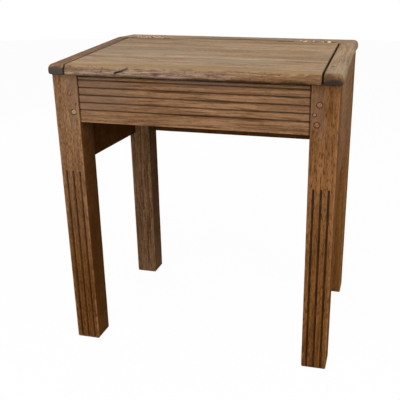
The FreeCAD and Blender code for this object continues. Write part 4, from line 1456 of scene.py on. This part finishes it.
class DESK_OT_lid(bpy.types.Operator):
    """Sloping lid of three boards, nosed in front, split here and there by age"""
    bl_idname = "desk.lid"
    bl_label = "Lid"

    def execute(self, context):
        for index in (1, 2, 3):
            self.make_board(index)
        return {"FINISHED"}

    def make_board(self, index):
        sizes = bpy.context.scene.desk_sizes
        node = f"lid_board_{index}"
        low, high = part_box(node)
        box = levelled_box(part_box("lid_board_1")[0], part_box("lid_board_3")[1])
        front, end_x = box[0].y, box[1].x
        board = self.shape(node, low, high, index == 1)
        make_uneven(board, sizes.unevenness, 0.07)
        front_face = low.y + 0.00005
        with editing(board):
            pick_points(board, lambda co: co.y < front_face)
            squeeze(1, 0, 1, (0, front_face, 0))
        # Painted shade along the seams at the lid's ends
        seams = [layer(*box, "X", SIDES[name] * end_x, half) for name, half in LID_SEAMS.items()]
        dirt_and_shade = [(*seam, SEAM_SOFT) for seam in seams]
        if index == 1:
            carve(board, self.front_split(low.y))
            # Painted shade in the seam at the left of the nose
            seam_low = -end_x - JOINT_SHADE, front - PAST, board_top_z - 0.04
            seam_high = -end_x + JOINT_SHADE, front + 0.011, board_top_z - 0.002
            dirt_and_shade.append((seam_low, seam_high, 0.0012))
        if index == 3:
            carve(board, self.end_split(high.x))
            for name in SIDES:
                for cutter in hinge_cutters(name, -1):
                    carve(board, cutter)
            # Painted shade at the ends of the hinges' housings
            dirt_and_shade += housing_shade(high.y)
        pith = (0.3 * index, -0.2 + 0.13 * index, 0.58 + 0.02 * index)
        stains = self.stains(front)[index]
        finish = top_oak(f"oak_{node}", "X", pith, *box, nosed=index == 1, dirt_and_shade=dirt_and_shade, stains=stains)
        hand_over(board, node, finish, "lid")

    def stains(self, front):
        """Greyed and rubbed patches on each board of the lid."""
        oak = bpy.context.scene.oak_finish
        return {
            1: [
                ((0.07, -0.125, board_top_z), (0.17, 0.035, 0.05), oak.grey, 0.6),
                ((-0.068, front, board_top_z - 0.013), (0.012, 0.02, 0.004), oak.wine, 0.8),
            ],
            2: [
                ((-0.12, -0.06, board_top_z), (0.15, 0.03, 0.05), oak.grey, 0.6),
                ((0.16, -0.02, board_top_z), (0.10, 0.025, 0.05), oak.gold, 0.3),
            ],
            3: [
                ((-0.17, 0.045, board_top_z), (0.12, 0.014, 0.05), oak.top_dark, 0.55),
                ((0.10, 0.09, board_top_z), (0.16, 0.02, 0.05), oak.top_dark, 0.4),
            ],
        }

    def shape(self, node, low, high, nosed):
        """One board of the lid, level first and then let down to the slope."""
        sizes = bpy.context.scene.desk_sizes
        top_front = board_top_z - drop_at(low.y)
        top_back = board_top_z - drop_at(high.y)
        thickness = top_thickness - LID_GAP
        under_front = top_front - thickness
        board = add_block(f"worn_{node}", (low.x, low.y, top_back - thickness), (high.x, high.y, top_back))

        def at_front(co):
            return co.y < low.y + NEAR

        with editing(board):
            pick_points(board, at_front)
            shift(z=top_front - top_back)
            if nosed:
                round_off(board, sizes.nose, 8, lambda co: at_front(co) and co.z > top_front - NEAR)
                round_off(board, sizes.nose_under, 4, lambda co: at_front(co) and co.z < under_front + NEAR)
            round_off(board, sizes.lid_arris, 2, lambda co: abs(co.x) > high.x - NEAR)
            round_edges(
                board, sizes.seam_arris, 1, lambda edge: runs_along(edge, "X") and is_sharp(edge, 1.0)
            )
            cut_rows("X", low.x + 0.003, high.x - 0.003, 0.015)
            cut_rows("Y", low.y + (0.014 if nosed else 0.002), high.y - 0.002, 0.015)
        return board

    def front_split(self, front_y):
        """Cutter for the slanting split in the nosed edge."""
        turn = (0.0, -SPLIT_SLANT, math.radians(-6.0))
        place = (SPLIT_X, front_y + SPLIT_SET, 0.6515)
        return self.wedge((-0.015, -0.008, -0.0016), (0.015, 0.018, 0.0016), 0.015, (1, 1, 0.1), place, turn)

    def end_split(self, end_x):
        """Cutter for the drying split in the lid's right end."""
        place = (end_x, 0.052, board_top_z - drop_at(0.052) + 0.01)
        return self.wedge((-0.028, -0.0006, -0.02), (0.004, 0.0006, 0.02), -0.028, (1, 0.1, 1), place)

    def wedge(self, low, high, thin_x, squeezed, place, turn=(0.0, 0.0, 0.0)):
        """Block squeezed thin at one end, then turned and put in its place."""
        cutter = add_block("split_cutter", low, high)
        with editing(cutter):
            pick_points(cutter, lambda co: abs(co.x - thin_x) < NEAR)
            squeeze(*squeezed, (thin_x, 0, 0))
        cutter.rotation_euler = turn
        cutter.location = place
        make_active(cutter)
        return settle(cutter, "split_cutter")


class DESK_OT_lid_battens(bpy.types.Operator):
    """Battens under the lid, drilled for their screws"""
    bl_idname = "desk.lid_battens"
    bl_label = "Lid Battens"

    def execute(self, context):
        sizes = context.scene.desk_sizes
        arris = 0.002

        def at_lid(co):
            return co.z > under_z(co) - 2 * NEAR

        for name in SIDES:
            node = f"{name}_lid_batten"
            low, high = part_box(node)
            rise = drop_at(low.y) - drop_at(high.y)
            batten = add_block(f"worn_{node}", (low.x, low.y, low.z + rise), high)
            with editing(batten):
                pick_points(batten, lambda co: co.y < low.y + NEAR)
                shift(z=-rise)
                round_edges(batten, arris, 2, lambda edge: not both(edge, at_lid))
                cut_rows("Y", low.y + 2 * arris, high.y - 2 * arris, 0.015)
                cut_rows("X", low.x + 2 * arris, high.x - 2 * arris, 0.012)
            make_uneven(batten, sizes.unevenness, 0.05)
            drill_for_screws(batten, batten_screw_places(name))
            finish = inner_oak(f"oak_{node}", node, "Y", (low.x, 0.0, 0.6))
            hand_over(batten, node, finish, "lid")
        return {"FINISHED"}


def drill_at(piece, places, radius, depth):
    drill(piece, [(seat, -way, radius, depth) for seat, way, _ in places])


def drill_for_screws(piece, places):
    sizes = bpy.context.scene.desk_sizes
    drill_at(piece, places, sizes.screw_radius + sizes.hole_gap, sizes.hole_depth)


def batten_screw_places(name):
    """Seat, outward way and turn of each screw up through a batten."""
    slope = bpy.context.scene.desk_sizes.lid_slope
    way = Vector((0.0, math.sin(slope), -math.cos(slope)))
    screws = sorted(islands(f"{name}_batten_screws"), key=lambda box: box[0].y)
    places = []
    for turn, (low, high) in zip((0.4, 1.7, 2.5), screws):
        radius = (high.x - low.x) / 2
        middle_x = (low.x + high.x) / 2
        seat = Vector((middle_x, high.y - radius * math.cos(slope), low.z + radius * math.sin(slope)))
        places.append((seat, way, turn))
    return places


def screw_places(node, way, turns):
    """Seat, outward way and turn of each screw or nail in a node, seated on its end that looks that way."""
    places = []
    for turn, (low, high) in zip(turns, islands(node)):
        reach = Vector([part * size / 2 for part, size in zip(way, high - low)])
        places.append(((low + high) / 2 + reach, way, turn))
    return places


LEDGER_WAYS = {"front": AXES["Y"], "rear": -AXES["Y"], "left": AXES["X"], "right": -AXES["X"]}


def ledger_screw_places(name):
    return screw_places(f"{name}_ledger_screws", LEDGER_WAYS[name], (0.9, 2.2, 0.1))


def hinge_screw_places(name, leaf):
    way = AXES["Y"] * (-1 if leaf == "fixed" else 1)
    return screw_places(f"{name}_hinge_{leaf}_screws", way, (1.2, 0.3, 2.0))


def nail_places():
    turns = [0.7 * index for index in range(len(islands("floor_nails")))]
    return screw_places("floor_nails", AXES["Z"], turns)


class DESK_OT_well_floor(bpy.types.Operator):
    """Floor boards of the well, cut round the legs, and the ledgers that carry them"""
    bl_idname = "desk.well_floor"
    bl_label = "Well Floor"

    def execute(self, context):
        for index in (1, 2, 3):
            self.make_board(context.scene.desk_sizes, index)
        for name in LEDGER_WAYS:
            self.make_ledger(context.scene.desk_sizes, name)
        return {"FINISHED"}

    def make_board(self, sizes, index):
        node = f"floor_board_{index}"
        low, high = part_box(node)
        board = shape_board(f"worn_{node}", low, high, 0.0008, {"X": 0.016, "Y": 0.014})
        make_uneven(board, sizes.unevenness, 0.06)
        clear = Vector((0.0006, 0.0006, 0.1))
        for leg in ("front_left_leg", "front_right_leg", "rear_left_leg", "rear_right_leg"):
            leg_low, leg_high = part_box(leg)
            if leg_low.y < high.y and leg_high.y > low.y:
                carve(board, add_block("notch_cutter", leg_low - clear, leg_high + clear))
        nails = [place for place in nail_places() if low.y < place[0].y < high.y]
        drill_at(board, nails, sizes.nail_radius + sizes.hole_gap, 0.002)
        rust = Vector((0.008, 0.008, 0.004))
        dirt_and_shade = [(seat - rust, seat + rust, 0.006) for seat, _, _ in nails]
        finish = inner_oak(f"oak_{node}", node, "X", (0.1 * index, low.y - 0.03, 0.5), dirt_and_shade)
        hand_over(board, node, finish)

    def make_ledger(self, sizes, name):
        node = f"{name}_floor_ledger"
        low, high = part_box(node)
        axis = "Y" if name in SIDES else "X"
        ledger = shape_board(f"worn_{node}", low, high, 0.001, {axis: 0.0185})
        make_uneven(ledger, sizes.unevenness / 2, 0.04)
        drill_for_screws(ledger, ledger_screw_places(name))
        finish = inner_oak(f"oak_{node}", node, axis, (low.x - 0.02, low.y - 0.03, 0.52))
        hand_over(ledger, node, finish)


SOFT_END = 0.0005  # rounding of the ends of pegs, pins and knuckles
# How far each side of a whittled peg lies out
WHITTLED = (1.0, 0.93, 0.98, 0.90, 1.0, 0.95, 0.91, 0.99, 0.94, 0.97)


def shape_peg(name, radius, first_flat):
    """Whittled peg that looks along +Z, its crowned end just under the origin."""
    crown = 0.0002
    peg = add_rod(name, (0, 0, -0.008), (0, 0, 0), radius, len(WHITTLED))
    with editing(peg):
        for index in range(len(WHITTLED)):
            flat = WHITTLED[(index + first_flat) % len(WHITTLED)]
            angle_round = math.tau * index / len(WHITTLED)
            side = Vector((math.sin(angle_round), math.cos(angle_round), 0.0))
            pick_points(peg, lambda co: co.dot(side) > radius * 0.96)
            squeeze(flat, flat, 1)
        pick(peg, "FACE", looks_up)
        bpy.ops.mesh.inset(thickness=radius * 0.3)
        shift(z=crown)
        round_off(peg, SOFT_END, 2, lambda co: abs(co.z) < crown / 4 and co.length > radius * 0.6)
        bpy.ops.mesh.select_all(action="SELECT")
        shift(z=-crown)
    return peg


class DESK_OT_pegs(bpy.types.Operator):
    """Whittled pegs through the tenons, and the dowels under the top"""
    bl_idname = "desk.pegs"
    bl_label = "Pegs"

    def execute(self, context):
        for node in ("front_rail_pegs", "front_rail_pins", "rear_rail_pegs", "left_side_rail_pegs",
                     "right_side_rail_pegs"):
            self.make_pegs(node)
        hidden = peg_oak("oak_dowels", "Z", (0.0, 0.0, 0.66))
        for node in ("left_strip_dowels", "right_strip_dowels", "rear_board_dowels"):
            dress(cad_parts[node], hidden)
        return {"FINISHED"}

    def make_pegs(self, node):
        pegs = []
        ends = peg_ends(node)
        for index, (place, way, radius) in enumerate(ends):
            pattern = shape_peg(f"worn_{node}", radius, 3 * index)
            pegs.append(set_out(pattern, f"worn_{node}", [(place, way, 0.5 * index)]))
        pale = None
        if node == "front_rail_pegs":
            low, high = min(islands(node), key=lambda box: (box[0].x > 0, box[0].z))
            spare = Vector((0.002, 0.002, 0.002))
            pale = low - spare, high + spare
        axis = "X" if "side" in node else "Y"
        finish = peg_oak(f"oak_{node}", axis, ends[0][0] + Vector((0.003, 0.002, 0.004)), pale)
        hand_over(join(pegs, f"worn_{node}"), node, finish)


KNUCKLES = 5


class DESK_OT_hinges(bpy.types.Operator):
    """Brass butt hinges with their pins and screws"""
    bl_idname = "desk.hinges"
    bl_label = "Hinges"

    def execute(self, context):
        for name in SIDES:
            node = f"{name}_hinge_pin"
            low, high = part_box(node)
            middle = (low + high) / 2
            pin = self.rounded_rod(f"worn_{node}", low.x, high.x, middle, (high.z - low.z) / 2, 16)
            hand_over(pin, node, brass())
            for leaf, body in (("fixed", "frame"), ("lid", "lid")):
                node = f"{name}_hinge_{leaf}_leaf"
                hand_over(self.leaf(name, leaf, middle), node, brass(), body)
                node = f"{name}_hinge_{leaf}_screws"
                screws = set_out(shape_screw(), f"worn_{node}", hinge_screw_places(name, leaf))
                hand_over(screws, node, brass(), body)
        return {"FINISHED"}

    def rounded_rod(self, name, start_x, end_x, middle, radius, sides):
        """Rod along the hinge line with softened ends."""
        rod = add_rod(name, (start_x, middle.y, middle.z), (end_x, middle.y, middle.z), radius, sides)
        with editing(rod):
            round_edges(rod, SOFT_END, 2, lambda edge: not runs_along(edge, "X"))
        return rod

    def leaf(self, name, leaf, middle):
        """Plate with tongues up to its own knuckles, notched round the other leaf's."""
        sizes = bpy.context.scene.desk_sizes
        node = f"{name}_hinge_{leaf}_leaf"
        low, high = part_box(node)
        facing = 1 if leaf == "fixed" else -1
        radius = high.z - middle.z
        clear = radius + BARREL_GAP
        seam = middle.y + facing * sizes.leaf_gap / 2
        near, far = sorted((seam, seam + facing * sizes.leaf_thickness))
        pitch = (high.x - low.x) / KNUCKLES
        own = range(0 if facing > 0 else 1, KNUCKLES, 2)
        plate = add_block(f"worn_{node}", (low.x, near, low.z), (high.x, far, middle.z - clear))

        def at_bottom(co):
            return co.z < low.z + NEAR

        def knuckle_of(face):
            return int((face.calc_center_median().x - low.x) / pitch)

        with editing(plate):
            round_edges(plate, 0.002, 4, lambda edge: runs_along(edge, "Y") and both(edge, at_bottom))
            slice_across("X", [low.x + step * pitch for step in range(1, KNUCKLES)])
            pick(plate, "FACE", lambda face: looks_up(face) and knuckle_of(face) in own)
            draw_out(clear)
        drill_at(plate, hinge_screw_places(name, leaf), sizes.screw_radius + CLOSE, 0.004)
        pieces = [plate]
        for step in own:
            start = low.x + step * pitch + sizes.knuckle_gap / 2
            end = start + pitch - sizes.knuckle_gap
            pieces.append(self.rounded_rod("knuckle", start, end, middle, radius, 24))
        return join(pieces, f"worn_{node}")


SHANK = 0.006  # shown length of a screw or nail behind its head


def shape_screw():
    """Slotted, countersunk screw that looks along +Z, its flat head at the origin."""
    sizes = bpy.context.scene.desk_sizes
    depth = sizes.screw_head
    screw = add_rod("screw", (0, 0, -depth), (0, 0, 0), sizes.screw_radius, 20)
    with editing(screw):
        pick_points(screw, lambda co: co.z < -depth / 2)
        squeeze(0.5, 0.5, 1)
        pick(screw, "FACE", looks_down)
        draw_out(-SHANK)
        round_off(screw, 0.00025, 2, lambda co: co.z > -CLOSE)
    half = sizes.slot_width / 2
    carve(screw, add_block("slot_cutter", (-0.005, -half, -0.0009), (0.005, half, 0.001)))
    return screw


def shape_nail():
    """Hammered nail head that looks along +Z, its crown at the origin."""
    crown = 0.0003
    nail = add_rod("nail", (0, 0, -0.0015), (0, 0, -crown), bpy.context.scene.desk_sizes.nail_radius, 14)
    with editing(nail):
        pick(nail, "FACE", looks_up)
        bpy.ops.mesh.inset(thickness=0.0012)
        shift(z=crown)
        pick(nail, "FACE", looks_down)
        bpy.ops.mesh.inset(thickness=0.0018)
        draw_out(-SHANK)
        round_off(nail, 0.0002, 2, lambda co: abs(co.z + crown) < CLOSE)
    return nail


class DESK_OT_fasteners(bpy.types.Operator):
    """Screws and nails of battens, ledgers and floor"""
    bl_idname = "desk.fasteners"
    bl_label = "Fasteners"

    def execute(self, context):
        for name in LEDGER_WAYS:
            self.drive(shape_screw(), f"{name}_ledger_screws", ledger_screw_places(name), "frame")
        for name in SIDES:
            self.drive(shape_screw(), f"{name}_batten_screws", batten_screw_places(name), "lid")
        self.drive(shape_nail(), "floor_nails", nail_places(), "frame")
        return {"FINISHED"}

    def drive(self, pattern, node, places, body):
        """Puts copies of a screw or nail in their places."""
        hand_over(set_out(pattern, f"worn_{node}", places), node, steel(), body)


WHITE = (1.0, 1.0, 1.0, 1.0)


class DESK_OT_stage(bpy.types.Operator):
    """Pale floor, soft lamps and the camera"""
    bl_idname = "desk.stage"
    bl_label = "Stage"

    def execute(self, context):
        look = context.scene.studio_look
        self.floor(look)
        self.world(look)
        self.lamp("key_lamp", (0.1, -1.5, 2.4), (0.0, 0.0, 0.5), 2.4, look.key)
        self.lamp("front_lamp", (0.3, -2.7, 1.0), (0.0, 0.0, 0.4), 1.8, look.front)
        self.lamp("back_lamp", (-1.3, 2.2, 1.9), (0.0, 0.0, 0.4), 1.8, look.back)
        self.lamp("side_lamp", (2.4, -1.0, 1.6), (0.0, 0.0, 0.4), 1.8, look.side)
        self.camera(look)
        context.scene.view_settings.view_transform = "Standard"
        return {"FINISHED"}

    def seen_directly(self, tree):
        """1 for rays from the camera, a mirror or glass, and 0 for the light that the surface gives."""
        path = add_node("ShaderNodeLightPath", {}, tree).outputs
        seen = calc("MAXIMUM", path["Is Camera Ray"], path["Is Glossy Ray"])
        return calc("MAXIMUM", seen, path["Is Transmission Ray"])

    def floor(self, look):
        deselect_objects()
        bpy.ops.mesh.primitive_circle_add(vertices=96, radius=9.0, fill_type="NGON", location=(0, 0, 0))
        floor = settle(bpy.context.active_object, "studio_floor")
        with editing(floor):
            bpy.ops.mesh.select_all(action="SELECT")
            bpy.ops.mesh.inset(thickness=6.5)
        material = bpy.data.materials.new("pale_floor")
        material.use_nodes = True
        tree = material.node_tree
        tree.nodes.clear()
        seen = self.seen_directly(tree)
        paint = add_node("ShaderNodeBsdfDiffuse", {"Color": blend(seen, look.floor, look.floor_seen)})
        white = add_node("ShaderNodeEmission", {"Color": WHITE, "Strength": 1.0}, tree)
        mask = times(seen, look.whiteness)
        mixed = add_node("ShaderNodeMixShader", {0: mask, 1: paint.outputs[0], 2: white.outputs[0]})
        output = add_node("ShaderNodeOutputMaterial", {"Surface": mixed.outputs[0]})
        output.is_active_output = True
        floor.data.materials.append(material)

    def world(self, look):
        world = bpy.data.worlds.new("studio")
        bpy.context.scene.world = world
        world.use_nodes = True
        tree = world.node_tree
        tree.nodes.clear()
        light = add_node("ShaderNodeBackground", {"Color": WHITE, "Strength": look.ambient}, tree)
        white = add_node("ShaderNodeBackground", {"Color": WHITE, "Strength": 1.0}, tree)
        seen = self.seen_directly(tree)
        mixed = add_node("ShaderNodeMixShader", {0: seen, 1: light.outputs[0], 2: white.outputs[0]})
        add_node("ShaderNodeOutputWorld", {"Surface": mixed.outputs[0]})

    def lamp(self, name, place, aim, size, watts):
        data = bpy.data.lights.new(name, "AREA")
        data.shape = "DISK"
        data.size = size
        data.energy = watts
        lamp = bpy.data.objects.new(name, data)
        lamp.location = place
        lamp.rotation_euler = (Vector(aim) - Vector(place)).to_track_quat("-Z", "Y").to_euler()
        bpy.context.scene.collection.objects.link(lamp)

    def camera(self, look):
        data = bpy.data.cameras.new("photo_camera")
        data.lens = look.lens
        data.sensor_width = 36.0
        data.shift_x, data.shift_y = look.shift
        ahead = Vector((-math.sin(look.turn), math.cos(look.turn), 0.0))
        forward = ahead * math.cos(look.tilt) - AXES["Z"] * math.sin(look.tilt)
        right = Vector((math.cos(look.turn), math.sin(look.turn), 0.0))
        up = right.cross(forward)
        across = right * math.cos(look.roll) + up * math.sin(look.roll)
        upright = up * math.cos(look.roll) - right * math.sin(look.roll)
        camera = bpy.data.objects.new("photo_camera", data)
        turn = Matrix((across, upright, -forward)).transposed().to_4x4()
        camera.matrix_world = Matrix.Translation(look.place) @ turn
        bpy.context.scene.collection.objects.link(camera)
        bpy.context.scene.camera = camera


STEPS = (
    DESK_OT_legs,
    DESK_OT_front_rail,
    DESK_OT_side_and_rear_rails,
    DESK_OT_top_strips,
    DESK_OT_rear_board,
    DESK_OT_lid,
    DESK_OT_lid_battens,
    DESK_OT_well_floor,
    DESK_OT_pegs,
    DESK_OT_hinges,
    DESK_OT_fasteners,
    DESK_OT_stage,
)
GROUPS = {
    "desk_sizes": DeskSizes,
    "oak_finish": OakFinish,
    "metal_finish": MetalFinish,
    "studio_look": StudioLook,
}


class DESK_PT_panel(bpy.types.Panel):
    """Steps that build the desk, in order, and the values that they use"""
    bl_idname = "DESK_PT_panel"
    bl_label = "School Desk"
    bl_space_type = "VIEW_3D"
    bl_region_type = "UI"
    bl_category = "School Desk"

    def draw(self, context):
        for step in STEPS:
            self.layout.operator(step.bl_idname)
        for name, group in GROUPS.items():
            values = self.layout.box()
            for field in group.__annotations__:
                values.prop(getattr(context.scene, name), field)


CLASSES = (*GROUPS.values(), *STEPS, DESK_PT_panel)


def register():
    for each in CLASSES:
        bpy.utils.register_class(each)
    for name, group in GROUPS.items():
        setattr(bpy.types.Scene, name, bpy.props.PointerProperty(type=group))


def unregister():
    for name in GROUPS:
        delattr(bpy.types.Scene, name)
    for each in reversed(CLASSES):
        bpy.utils.unregister_class(each)


def main():
    register()
    bpy.ops.desk.legs()
    bpy.ops.desk.front_rail()
    bpy.ops.desk.side_and_rear_rails()
    bpy.ops.desk.top_strips()
    bpy.ops.desk.rear_board()
    bpy.ops.desk.lid()
    bpy.ops.desk.lid_battens()
    bpy.ops.desk.well_floor()
    bpy.ops.desk.pegs()
    bpy.ops.desk.hinges()
    bpy.ops.desk.fasteners()
    bpy.ops.desk.stage()


if __name__ == "__main__":
    main()
